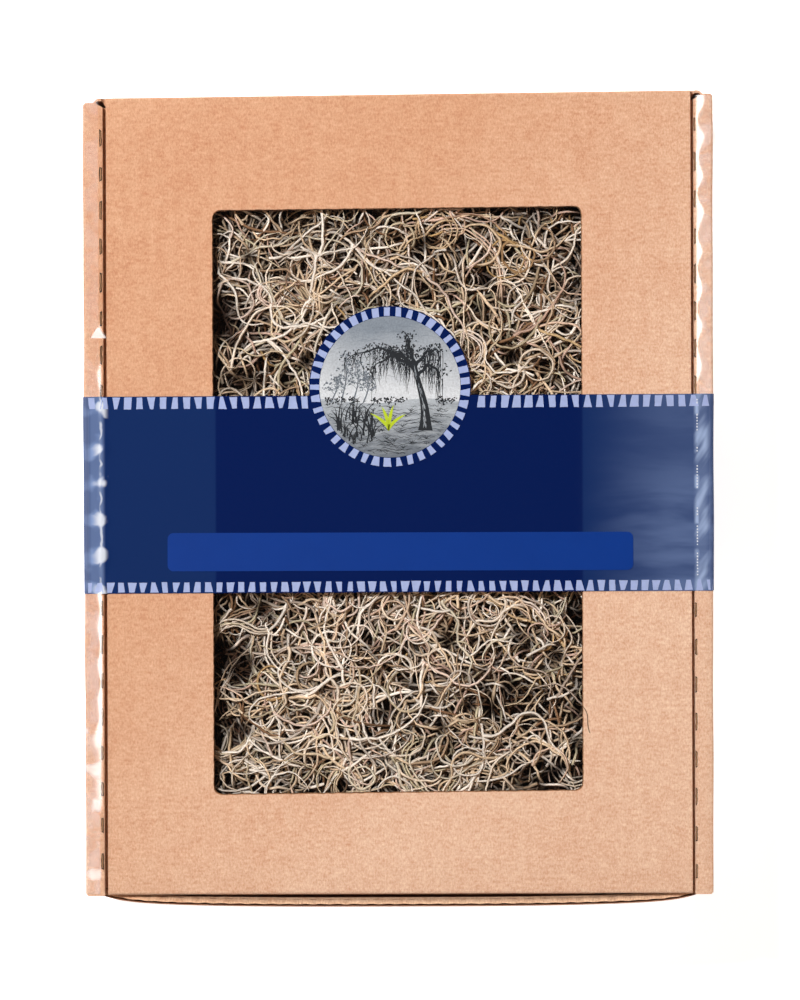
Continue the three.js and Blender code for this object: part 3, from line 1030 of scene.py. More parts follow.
def dash_tree() -> Tree:
    """The Geometry Nodes tree of a straight row of uneven, tapered bars along X.

    Returns:
        The tree.
    """
    tree, given = geometry_tree("uneven_bar_row", {
        "Row length": "Float", "Pitch": "Float", "Bar size": "Vector", "Taper": "Float",
        "Unevenness": "Float", "Seed": "Int", "Steps along": "Int", "Steps across": "Int",
        "Finish": "Material"})
    add = partial(add_node, tree)
    pitch, size, taper = given["Pitch"], given["Bar size"], given["Taper"]
    count = add(Kind.FLOOR, add(Kind.OVER, given["Row length"], pitch))
    start = add(Kind.JOIN, add(Kind.TIMES, pitch, 0.5))
    line = add("GeometryNodeMeshLine", count=count, start_location=start, offset=add(Kind.JOIN, pitch))
    bar = add("GeometryNodeMeshCube", size=size, vertices_x=given["Steps along"],
              vertices_y=given["Steps across"], vertices_z=2).outputs[0]
    bar = add(Kind.STORED, bar, name="in_bar", value=add(Kind.POSITION), data_type="FLOAT_VECTOR")
    low = add(Kind.TIMES, taper, -1.0)
    drawn = []
    for step, least, most in ((2.0, low, taper), (3.0, -0.12, 0.12), (4.0, 0.78, 1.2), (5.0, 0.92, 1.05)):
        seed = add(Kind.PLUS, given["Seed"], step)
        drawn.append(add("FunctionNodeRandomValue", least, most, seed=seed, data_type="FLOAT"))
    for name, value in (("taper", drawn[0]), ("lean", drawn[1])):
        line = add(Kind.STORED, line, name=name, value=value, data_type="FLOAT")
    scale = add(Kind.JOIN, drawn[2], drawn[3], 1.0)
    placed = add("GeometryNodeInstanceOnPoints", points=line, instance=bar, scale=scale)
    recalled = [add(Kind.RECALLED, name=name, data_type=data_type) for name, data_type in (
        ("in_bar", "FLOAT_VECTOR"), ("taper", "FLOAT"), ("lean", "FLOAT"))]
    along, sideways, _ = add(Kind.SPLIT, recalled[0]).outputs
    across = add(Kind.OVER, add(Kind.TIMES, sideways, 2.0), add(Kind.SPLIT, size).outputs[1])
    wedge = add(Kind.TIMES, add(Kind.TIMES, along, across), recalled[1])
    slope = add(Kind.TIMES, sideways, recalled[2])
    ragged = add(Kind.POINT_NOISE, add(Kind.POSITION), w=given["Seed"], scale=per_metre(1.4), detail=1.0)
    centred = add(Kind.VECTOR_MINUS, ragged.outputs["Color"], (0.5, 0.5, 0.5))
    push = add(Kind.SCALED, add(Kind.VECTOR_TIMES, centred, (2.0, 2.0, 0.0)), given["Unevenness"])
    total = add(Kind.VECTOR_PLUS, push, add(Kind.JOIN, add(Kind.PLUS, wedge, slope)))
    finish_tree(add, add(Kind.MOVED, add(Kind.REALIZED, placed), offset=total), given["Finish"])
    return tree


@dataclass
class DashRows:
    """Straight rows of bars, all from one tree, that other pieces lay on their own surfaces."""

    tree: Tree

    def row(self, name: str, length: float, pitch: float, bar: tuple[float, float, float],
            finish: Material, seed: int, taper: float, raggedness: float,
            steps: tuple[int, int] = (3, 3)) -> Piece:
        """Runs the tree: a straight row of bars along X that starts at the origin.

        Args:
            name: the piece's name.
            length: the row's length.
            pitch: from one bar to the next.
            bar: a bar's size along the row and across it, and its thickness.
            finish: its material.
            seed: for the drawn unevenness.
            taper: the most by which a bar narrows to one end, as a share.
            raggedness: how far an edge strays.
            steps: a bar's points along and across.

        Returns:
            The row, as a plain mesh.
        """
        return grown(name, bpy.data.meshes.new(name), self.tree, {
            "Row length": length, "Pitch": pitch, "Bar size": bar, "Taper": taper, "Unevenness": raggedness,
            "Seed": seed, "Steps along": steps[0], "Steps across": steps[1], "Finish": finish})


def remapped(piece: Piece, change: Callable[[Array], Array]) -> Piece:
    """Moves a piece's points by a function of all their places.

    Args:
        piece: the piece, which is changed.
        change: gives the new places.

    Returns:
        The same piece.
    """
    places = np.empty(len(piece.data.vertices) * 3)
    piece.data.vertices.foreach_get("co", places)
    piece.data.vertices.foreach_set("co", change(places.reshape(-1, 3)).ravel())
    piece.data.update()
    return piece


def kept_where(piece: Piece, wanted: Callable[[Array], Array], group: int) -> None:
    """Drops whole bars whose middle isn't wanted.

    Args:
        piece: a row of bars with the same number of points each.
        wanted: says for each bar's middle whether it stays.
        group: the number of points in a bar.
    """
    places = np.array([v.co for v in piece.data.vertices]).reshape(-1, group, 3)
    stays = np.repeat(wanted(places.mean(1)), group)
    work = bmesh.new()
    work.from_mesh(piece.data)
    work.verts.ensure_lookup_table()
    bmesh.ops.delete(work, geom=[v for v, keep in zip(work.verts, stays) if not keep], context="VERTS")
    work.to_mesh(piece.data)
    work.free()


# ---------------------------------------------------------------- the mailer


@dataclass(frozen=True)
class WallEnds:
    """What differs between the two side walls.

    The wall stops short of the back by its setback, and the notch is cut into its corner. The
    crease's slits lie inset from it and start ahead of the front, with a pitch and a width.
    """

    side: int
    name: str
    setback: float
    notch: float
    cut_inset: float
    cut_ahead: float
    cut_pitch: float
    cut_width: float


LEFT_WALL = WallEnds(-1, "left", 3.0 * MM, 1.7 * MM, 0.95 * MM, 6.3 * MM, 13.8 * MM, 0.92 * MM)
RIGHT_WALL = WallEnds(1, "right", 0.1 * MM, 2.0 * MM, 0.5 * MM, 1.7 * MM, 14.25 * MM, 0.72 * MM)


@dataclass
class Mailer:
    """The folded board: tray with rolled side walls, bowed front wall, windowed lid."""

    sizes: BoxSizes
    dashes: DashRows
    fold_steps: int = 6
    strip_inner: float = 112.6 * MM
    inner_fold: float = 0.55 * MM
    strip_crown: float = 0.05 * MM
    outer_liner: float = 0.2 * MM
    inner_liner: float = 0.6 * MM
    medium: float = 1.8 * MM
    medium_depth: float = 0.88 * MM
    loose_liner: float = 0.7 * MM
    medium_swing: float = 0.12 * MM
    torn_edge: float = 0.15 * MM
    flute_pitch: float = 6.35 * MM
    flute_points: int = 6
    # Painted shade and highlight on the front wall's cut top, for the outer and inner side of each paper:
    # shade towards the lid and on the outer liner, a highlight on the medium's crest.
    painted_edge_light: tuple[tuple[float, float], ...] = ((0.6, 0.5), (1.35, 0.6), (0.6, 0.6))
    corner_round: float = 0.8 * MM
    back_overlap: float = 3.4 * MM
    crush_and_painted_light_loss: float = 1.8 * MM
    crush_and_painted_light_from: float = 112 * MM
    corner_curl: float = 2.6 * MM
    flap_half: float = 74 * MM
    flap_length: float = 36 * MM
    flap_corner: float = 9 * MM
    flap_lean: float = 2.6 * MM
    lid_half: float = 111.5 * MM
    ledge: float = 1.4 * MM
    lid_front_gap: float = 0.45 * MM
    lid_slope: float = 1.2 * MM
    window_slant: float = 0.009
    window_step: float = 1.1 * MM
    window_ease: float = 0.3 * MM
    window_ragged: float = 0.13 * MM
    tab_length: float = 46 * MM
    tab_places: tuple[float, ...] = (-95 * MM, 0.0, 95 * MM)
    tab_ease: float = 3 * MM
    cut_length: float = 6.3 * MM
    cut_thickness: float = 0.04 * MM
    torn_length_share: float = 0.86
    torn_width: float = 0.3 * MM

    def __post_init__(self) -> None:
        """Makes the finishes that the box's pieces share."""
        cut = CutBoard(top=self.sizes.high.z).material()
        self.board = [KraftLiner().material(), cut]
        self.lid_board = [KraftLiner(name="kraft_lid_liner", cloud_mm=60.0).material(), cut]
        # The front wall's cut papers, with painted shade towards the lid and a painted highlight on the
        # crest.
        self.bare_finish = KraftLiner(
            name="bare_medium_paper", dark="#c09070", light="#fbd9b8", shade="crush_and_painted_light").material()
        self.slit_finish = PlainInk("torn_slit_shadow", "#2a1306", uneven=0.4, roughness=0.95).material()
        self.torn_finish = PlainInk("torn_slit_paper", "#b98d66", uneven=0.3, roughness=0.95).material()

    def side_wall(self, wall: WallEnds) -> Piece:
        """One rolled side wall: outer ply, crowned top strip and inner ply.

        Args:
            wall: which wall.

        Returns:
            The wall.
        """
        s = self.sizes
        outer, inner, top, foot = s.high.x, s.inner_half, s.high.z, s.low.z
        crest, bend = self.strip_inner, self.inner_fold
        flat = outer - s.fold - crest - bend
        strip = [(x, top + self.strip_crown * math.sin(math.pi * (outer - s.fold - x) / flat))
                 for x in np.linspace(outer - s.fold, crest + bend, 9)[1:-1]]
        profile = (
            [(outer - s.caliper, foot + s.caliper), (outer - s.caliper, foot)]
            + arc((outer - s.fold, foot + s.fold), s.fold, 270, 360, self.fold_steps)
            + arc((outer - s.fold, top - s.fold), s.fold, 0, 90, self.fold_steps)
            + strip
            + arc((crest + bend, top - bend), bend, 90, 180, self.fold_steps)
            + [(crest, s.lid_under - s.ply_gap), (self.lid_half - self.ledge, s.lid_under - 2 * s.ply_gap),
               (inner, top - 9 * MM), (inner, foot + s.caliper + s.ply_gap),
               (inner + s.caliper, foot + s.caliper + s.ply_gap),
               (inner + s.caliper, top - s.caliper), (outer - s.caliper, top - s.caliper)]
        )
        x, z = np.array(profile).T
        front, back = s.lid_low.y, s.lid_high.y - wall.setback
        ends = np.array([0, 0.15, 0.4, 0.8, 1.4, 2.2, 3.4, 5.0]) * MM
        stations = np.concatenate([front + ends, np.linspace(front, back, 60)[1:-1], (back - ends)[::-1]])
        rings = []
        for y in np.sort(stations):
            shift = s.side_shift(wall.side, y) * smoothed(x, crest + 1.0 * MM, outer - s.fold)
            near_back, near_front = smoothed(y, back - 5 * MM, back), smoothed(-y, -front - 2 * MM, -front)
            rounding = self.corner_round * smoothed(x, outer - 1.3 * MM, outer) ** 2
            inward = wall.notch * (1 - smoothed(x, crest, crest + 3.4 * MM)) + rounding
            rings.append(np.stack([
                wall.side * (x + shift), y - near_back * inward + near_front * rounding, z], 1))
        return skinned(f"side_wall_{wall.name}", rings, self.board)

    def crease_cuts(self, wall: WallEnds, torn: bool) -> Piece:
        """The row of short slits that let the side wall's inner crease fold.

        Args:
            wall: whose crease.
            torn: the torn paper that stands in the slits, instead of the slits.

        Returns:
            The slits of one wall, as slim plates in the crease.
        """
        s = self.sizes
        length = self.cut_length * (self.torn_length_share if torn else 1.0)
        name, width, finish = (("torn_paper", self.torn_width, self.torn_finish) if torn
                               else ("crease_cuts", wall.cut_width, self.slit_finish))
        slits = self.dashes.row(
            f"{name}_{wall.name}", s.lid_high.y - wall.setback - s.lid_low.y, wall.cut_pitch,
            (length, width, self.cut_thickness), finish, 70 + wall.side, 0.12, 0.3 * MM, steps=(12, 3))
        x = wall.side * (self.strip_inner + wall.cut_inset)
        z = s.high.z + self.strip_crown + (0.03 if torn else 0.01) * MM
        return remapped(slits, lambda p: np.stack([
            x + p[:, 1], s.lid_low.y + p[:, 0] + wall.cut_ahead, z + 0.4 * p[:, 2]], 1))

    def base_panel(self) -> Piece:
        """The base, with slots that the side walls' tabs come down into.

        Returns:
            The panel.
        """
        s = self.sizes
        half, middle = s.high.x - s.caliper, s.inner_half + s.caliper / 2
        low_y = s.lid_low.y + s.caliper + 0.1 * MM
        high_y = s.lid_high.y - s.caliper - self.lid_slope - 0.1 * MM
        inner_edge, outer_edge = middle - s.caliper / 2 - s.ply_gap, middle + s.caliper / 2 + s.ply_gap
        columns = [-half, -outer_edge, -inner_edge, inner_edge, outer_edge, half]
        rows = [low_y]
        for place in self.tab_places:
            rows += [s.middle_y + place - self.tab_length / 2 - s.ply_gap,
                     s.middle_y + place + self.tab_length / 2 + s.ply_gap]
        rows.append(high_y)
        cells = {(c, r) for c in range(5) for r in range(len(rows) - 1) if not (c in (1, 3) and r % 2 == 1)}
        return self.slotted_plate("base_panel", columns, rows, cells, s.low.z, s.low.z + s.caliper)

    def slotted_plate(self, name: str, columns: list, rows: list, cells: set, low: float,
                      high: float) -> Piece:
        """A plate made of the cells of a grid, open where a cell is missing.

        Args:
            name: the piece's name.
            columns: the grid's lines in X.
            rows: its lines in Y.
            cells: column and row of each cell that is there.
            low: the plate's underside.
            high: its upper face.

        Returns:
            The plate.
        """
        across, count = len(columns), len(columns) * len(rows)
        points = [(x, y, z) for z in (low, high) for y in rows for x in columns]
        faces, parts = [], []
        for c, r in sorted(cells):
            a, b = r * across + c, r * across + c + 1
            d, e = a + across, b + across
            faces += [[a, d, e, b], [a + count, b + count, e + count, d + count]]
            parts += [0, 0]
            sides = {(-1, 0): (d, a), (1, 0): (b, e), (0, -1): (a, b), (0, 1): (e, d)}
            for (dc, dr), (p, q) in sides.items():
                if (c + dc, r + dr) not in cells:
                    faces.append([p, q, q + count, p + count])
                    parts.append(1)
        return facing_out(new_piece(name, np.array(points), faces, self.board, parts, smooth=False))

    def lock_tabs(self) -> Piece:
        """The six tabs at the inner plies' feet, pushed down into the base's slots.

        Returns:
            The tabs, as one piece.
        """
        s = self.sizes
        points, faces = [], []
        for side in (-1, 1):
            for place in self.tab_places:
                x, y, start = side * (s.inner_half + s.caliper / 2), s.middle_y + place, len(points)
                for z, ease in ((s.low.z + s.ply_gap, self.tab_ease), (s.low.z + s.caliper + s.ply_gap, 0.0)):
                    for dx, dy in ((-1, -1), (1, -1), (1, 1), (-1, 1)):
                        points.append((x + dx * s.caliper / 2, y + dy * (self.tab_length / 2 - ease), z))
                faces += [[start + i for i in loop] for loop in (
                    (3, 2, 1, 0), (4, 5, 6, 7), (0, 1, 5, 4), (1, 2, 6, 5), (2, 3, 7, 6), (3, 0, 4, 7))]
        return facing_out(new_piece("lock_tabs", np.array(points), faces, self.board[1:], smooth=False))

    def back_wall(self) -> Piece:
        """The back wall, from the base to the lid's crease, with a soft outward curve.

        Returns:
            The wall.
        """
        s = self.sizes
        half, top = s.inner_half + self.back_overlap, s.lid_under - s.ply_gap
        crush_and_painted_light = self.crush_and_painted_light_from
        rings = []
        for x in np.concatenate([np.linspace(-half, -111 * MM, 12), np.linspace(-100 * MM, 100 * MM, 21),
                                 np.linspace(111 * MM, half, 12)]):
            thick = s.caliper - self.crush_and_painted_light_loss * smoothed(abs(x), crush_and_painted_light, crush_and_painted_light + 1 * MM)
            curl = self.corner_curl * smoothed(abs(x), half - 3.0 * MM, half + 0.6 * MM)
            outer = s.lid_high.y - self.lid_slant(x) - curl
            rim = top + (s.high.z - top - 1.0 * MM) * smoothed(abs(x), 112.5 * MM, 113.2 * MM)
            rings.append(np.array([
                (x, outer - thick, s.low.z), (x, outer, s.low.z), (x, outer, rim), (x, outer - thick, rim)]))
        return skinned("back_wall", rings, self.board)

    def front_wall(self) -> Piece:
        """The bowed front wall in its three papers: outer liner, waved medium and inner liner.

        Returns:
            The wall.
        """
        s = self.sizes
        half = s.inner_half - s.ply_gap
        count = round(2 * half / self.flute_pitch) * self.flute_points + 1
        x = np.linspace(-half, half, count)
        heights = np.concatenate(([s.low.z], np.linspace(s.low.z + s.caliper, s.lid_under - s.ply_gap, 6)))
        wave = self.medium_swing * np.sin(TURN * x / self.flute_pitch) - self.medium_depth
        papers = [
            (np.full(count, -s.caliper), np.full(count, -s.caliper + self.outer_liner)),
            (wave - self.medium / 2, wave + self.medium / 2),
            (np.full(count, self.loose_liner - self.inner_liner), np.full(count, self.loose_liner)),
        ]
        reach = np.abs(x / s.inner_half)
        points, faces, parts, painted_edge_values = [], [], [], []
        for number, (outer, inner) in enumerate(papers):
            rings = []
            # Each paper's painted shade and highlight, for its outer and then its inner side.
            painted_edge_values += (list(np.repeat(self.painted_edge_light[number], count))) * len(heights)
            for z in heights:
                up = math.sin(min(1.0, max(0.0, z - s.low.z - s.caliper) / s.front_bow_rise) * math.pi / 2)
                face_y = s.lid_low.y + s.caliper - s.front_bow * (
                    1 - 0.5 * reach ** 16 - 0.5 * reach ** 3.2) * up
                torn = self.torn_edge * waves(x, (7.3, 5.1), 31 + number) if z == heights[-1] else 0 * x
                front = np.stack([x, face_y + outer, z + torn], 1)
                rear = np.stack([x, face_y + inner, z + torn], 1)[::-1]
                rings.append(np.concatenate([front, rear]))
            skin, quads, _ = swept(rings, capped=False)
            offset = sum(len(p) for p in points)
            points.append(skin)
            faces += [[offset + i for i in quad] for quad in quads]
            parts += [1 if number == 2 else 0] * len(quads)
            for ring, turn in ((0, 1), (len(rings) - 1, -1)):
                base = offset + ring * 2 * count
                faces += [[base + i, base + i + 1, base + 2 * count - 2 - i, base + 2 * count - 1 - i][::turn]
                          for i in range(count - 1)]
                parts += [1] * (count - 1)
        finishes = [self.board[0], self.bare_finish]
        wall = new_piece("front_wall", np.concatenate(points), faces, finishes, parts)
        # The painted shade and highlight, as the point attribute that the edge paper's colour is multiplied
        # by.
        crush_and_painted_light = wall.data.attributes.new("crush_and_painted_light", "FLOAT", "POINT")
        crush_and_painted_light.data.foreach_set("value", np.array(painted_edge_values, float))
        return facing_out(wall, 40)

    def lid_slant(self, x: float) -> float:
        """How far the crease at the back lies inside its middle place: it runs askew."""
        return -self.lid_slope * x / self.lid_half

    def lid_panel(self) -> Piece:
        """The lid: round folds at both ends, and the window cut through it.

        Returns:
            The panel.
        """
        s = self.sizes
        back, front = s.lid_high.y, s.lid_low.y + self.lid_front_gap
        top, under = s.high.z, s.lid_under
        profile = (
            [(back, under)]
            + arc((back - s.fold, top - s.fold), s.fold, 0, 90, self.fold_steps)
            + [(y, top) for y in np.linspace(back - s.fold, front + s.fold, 24)[1:-1]]
            + arc((front + s.fold, top - s.fold), s.fold, 90, 180, self.fold_steps)
            + [(front, under)]
            + [(y, under) for y in np.linspace(front, back, 24)[1:-1]]
        )
        reach = back - s.middle_y
        rings = [np.array([(x, y - self.lid_slant(x) * max(0.0, (y - s.middle_y) / reach) ** 6, z)
                           for y, z in profile]) for x in np.linspace(-self.lid_half, self.lid_half, 40)]
        lid = skinned("lid_panel", rings, self.lid_board, sharp=0)
        self.cut_window(lid)
        lid.data.set_sharp_from_angle(angle=math.radians(35))
        return lid

    def cut_window(self, lid: Piece) -> None:
        """Cuts the window, with the slightly ragged and eased edge that die-cut board has.

        Args:
            lid: the lid, which is changed.
        """
        s, ease = self.sizes, self.window_ease
        loop = rounded_loop(s.window_width, s.window_length, s.window_corner, self.window_step)
        run = np.arange(len(loop)) * self.window_step
        loop[:, 1] += self.window_slant * loop[:, 0]
        loop += self.window_ragged * np.stack([
            waves(run, (4.1, 2.9, 9.7), 61), waves(run, (3.7, 5.3, 11.9), 62)], 1)
        rings = []
        for z, grow in (
            (s.lid_under - s.caliper, 0.0), (s.high.z - 2 * ease, 0.0), (s.high.z - ease, 0.25 * ease),
            (s.high.z + 0.02 * MM, ease), (s.high.z + s.caliper, ease),
        ):
            wide = loop * (1 + 2 * grow / np.array([s.window_width, s.window_length]))
            rings.append(np.column_stack([wide + (s.window_x, s.window_y), np.full(len(loop), z)]))
        cutter = skinned("window_cutter", rings, self.board[1:], sharp=0)
        cut = lid.modifiers.new("window", "BOOLEAN")
        cut.operation, cut.object, cut.solver, cut.material_mode = "DIFFERENCE", cutter, "EXACT", "TRANSFER"
        flattened(lid)
        bpy.data.objects.remove(cutter)

    def tuck_flap(self) -> Piece:
        """The tuck flap, which leans back inside the front wall.

        Returns:
            The flap.
        """
        s, corner = self.sizes, self.flap_corner
        top, low = s.lid_under, s.lid_under - self.flap_length
        rings = []
        for share in np.linspace(0, 1, 12):
            z = top + (low - top) * share
            near_end = max(0.0, (low + corner - z) / corner)
            half = self.flap_half - corner * (1 - math.sqrt(max(0.0, 1 - near_end ** 2)))
            y = s.lid_low.y + self.flap_lean * share
            behind = y + s.caliper
            rings.append(np.array([(-half, y, z), (half, y, z), (half, behind, z), (-half, behind, z)]))
        return skinned("tuck_flap", rings, self.lid_board)

    def build(self) -> None:
        """Builds and dresses every board piece."""
        for wall in (LEFT_WALL, RIGHT_WALL):
            dressed(self.side_wall(wall), "kraft_tray", "mailer_tray")
            for torn in (False, True):
                dressed(self.crease_cuts(wall, torn), "kraft_tray")
        for piece in (self.base_panel, self.lock_tabs, self.back_wall, self.front_wall):
            dressed(piece(), "kraft_tray", "mailer_tray")
        dressed(self.lid_panel(), "kraft_lid", "mailer_lid")
        dressed(self.tuck_flap(), "kraft_lid", "mailer_lid")


# ---------------------------------------------------------------- film, band, badge and sticker


@dataclass
class Wrap:
    """A skin drawn round the box's cross-section, with the loose folds that stand along its edges.

    A place on it is given by its run, from the middle of the underside round past +X, over the
    top and back, and by Y. The left fold's places are in millimetres from the lid's middle.
    """

    sizes: BoxSizes
    fold_foot: float = 113.4 * MM
    left_places: tuple[float, ...] = (
        -124, -117, -104, -96, -86, -38, -34, 36, 42, 50, 55, 60.5, 62.5, 64.5, 66)
    left_steepness: tuple[float, ...] = (
        0, 0.26, 0.22, 0.28, 0.37, 0.38, 0.22, 0.22, 0.30, 0.28, 0, 0, 0.42, 0.36, 0)
    right_steepness: float = 0.52
    left_beat: tuple[float, float] = (13.8 * MM, 4.78)
    right_beat: tuple[float, float] = (14.4 * MM, 4.41)
    slack: tuple[tuple[float, float, float], ...] = (
        (-92 * MM, 6 * MM, 2.2 * MM), (-109 * MM, 5 * MM, 2.0 * MM), (63 * MM, 1.6 * MM, 1.2 * MM))
    lean: float = 0.002

    def __post_init__(self) -> None:
        """Works out the lengths of the straight runs, and where each of the nine runs ends."""
        s = self.sizes
        self.radius = s.fold
        self.flat_half = s.high.x - s.fold
        self.flat_high = (s.high.z - s.low.z) / 2 - s.fold
        self.middle_z = (s.high.z + s.low.z) / 2
        self.quarter = math.pi / 2 * s.fold
        self.edges = np.cumsum([0, self.flat_half, self.quarter, 2 * self.flat_high, self.quarter,
                                2 * self.flat_half, self.quarter, 2 * self.flat_high, self.quarter,
                                self.flat_half])

    def length(self) -> float:
        """The whole way round."""
        return 4 * self.flat_half + 4 * self.flat_high + 4 * self.quarter

    def base(self, run: Array) -> tuple[Array, Array, Array, Array]:
        """The bare cross-section.

        Args:
            run: places round it.

        Returns:
            X, Z and the outward direction in X and Z at each place.
        """
        run = np.mod(run, self.edges[-1])
        part = np.clip(np.searchsorted(self.edges, run, side="right") - 1, 0, 8)
        along = run - self.edges[part]
        wide, high = self.flat_half, self.flat_high
        quarters = np.array([-1, -1, 0, 0, 1, 1, 2, 2, 3])[part]
        turning = np.array([0, 1, 0, 1, 0, 1, 0, 1, 0])[part]
        angle = quarters * (math.pi / 2) + turning * (along / self.radius)
        nx, nz = np.cos(angle), np.sin(angle)
        cx = np.array([0, wide, wide, wide, wide, -wide, -wide, -wide, -wide])[part]
        cx = cx + np.array([1, 0, 0, 0, -1, 0, 0, 0, 1])[part] * along
        cz = np.array([-high, -high, -high, high, high, high, high, -high, -high])[part]
        cz = cz + np.array([0, 0, 1, 0, 0, 0, -1, 0, 0])[part] * along
        return cx + self.radius * nx, self.middle_z + cz + self.radius * nz, nx, nz

    def lifted(self, x: Array, y: Array) -> Array:
        """How far the loose folds stand off the top.

        Args:
            x: places across the box.
            y: places along it.

        Returns:
            The height at each place.
        """
        middle = self.sizes.middle_y
        left = np.interp((y - middle) / MM, self.left_places, self.left_steepness)
        right = self.right_steepness * smoothed(y, middle + 30 * MM, middle + 46 * MM)
        loose = sum(np.exp(-((y - place) / reach) ** 2) * more for place, reach, more in self.slack)
        left_beat, right_beat = (np.sin(TURN * y / pitch + phase) for pitch, phase in (
            self.left_beat, self.right_beat))
        left_width = (1.4 + 0.55 * left_beat + 0.35 * waves(y, (9.4, 21, 31), 3)) * MM + loose
        right_width = (2.3 + 1.15 * right_beat + 0.5 * waves(y, (9.1, 23, 33), 4)) * MM
        right_width = right_width * (0.75 + 0.3 * smoothed(y, middle + 60 * MM, middle + 150 * MM))
        on_left = left * left_width * np.exp(-((-x - self.fold_foot) / left_width + 0.29) ** 2)
        on_right = right * right_width * np.exp(-((x - self.fold_foot) / right_width - 1.3) ** 2)
        return on_left + on_right

    def surface(self, run: Array, y: Array, off: Array) -> Array:
        """Points on the skin.

        Args:
            run: their places round the box.
            y: their places along it.
            off: how far off the board they lie.

        Returns:
            The points.
        """
        s = self.sizes
        x, z, nx, nz = self.base(run)
        on_top = smoothed(z, self.middle_z + self.flat_high, self.middle_z + self.flat_high + self.radius)
        stand = off + self.lifted(x, y) * on_top
        shift = np.where(x > 0, s.side_shift(1, y), -s.side_shift(-1, y))
        shift = shift * smoothed(np.abs(x), s.inner_half, self.flat_half)
        return np.stack([x + shift + nx * stand, y + self.lean * x, z + nz * stand], 1)

    def runs(self) -> Array:
        """The runs at which a skin has points: close together at the folds, far apart between.

        Returns:
            The runs, in order.
        """
        top = self.flat_half + 2 * self.quarter + 2 * self.flat_high
        far = top + 2 * self.flat_half
        near, between = np.linspace(0, 13.0 * MM, 25), 18 * MM
        rounds = np.linspace(0, self.quarter, 5)
        upright, foot = np.linspace(0, 2 * self.flat_high, 5), np.linspace(0, self.flat_half, 4)
        side, far_side, middle = (self.flat_half + self.quarter, far + self.quarter,
                                  np.linspace(top + between, far - between, 7))
        runs = [foot, self.length() - foot[1:], self.flat_half + rounds, side + upright,
                top - self.quarter + rounds, top + near, middle, far - near, far + rounds, far_side + upright,
                far_side + 2 * self.flat_high + rounds]
        return np.unique(np.round(np.concatenate(runs), 6))[:-1]

    def skin(self, name: str, low_y: float, high_y: float, off: float, thickness: float, step: float,
             finish: Material) -> Piece:
        """A closed thin tube between two places along the box.

        Args:
            name: the piece's name.
            low_y: where it starts.
            high_y: where it ends.
            off: from the board to its inner face.
            thickness: its own.
            step: between rows of points.
            finish: its material.

        Returns:
            The tube.
        """
        runs = self.runs()
        stations = np.linspace(low_y, high_y, max(2, round((high_y - low_y) / step)) + 1)
        outer, inner = ([self.surface(runs, np.full_like(runs, y), np.full_like(runs, level)) for y in order]
                        for order, level in ((stations, off + thickness), (stations[::-1], off)))
        return skinned(name, outer + inner + [outer[0]], [finish], sharp=50, capped=False)


@dataclass
class FilmSleeve:
    """The clear film, drawn tight round the whole box and open at both ends."""

    wrap: Wrap
    off: float = 0.11 * MM
    thickness: float = 0.05 * MM
    step: float = 1.5 * MM
    end_inset: float = 1.0 * MM

    def build(self) -> None:
        """Builds and dresses the film."""
        s = self.wrap.sizes
        film = self.wrap.skin(
            "clear_film", s.lid_low.y + self.end_inset, s.lid_high.y - self.end_inset, self.off,
            self.thickness, self.step, ClearFilm(top=s.high.z).material())
        film.visible_shadow = False
        dressed(film, "clear_film")


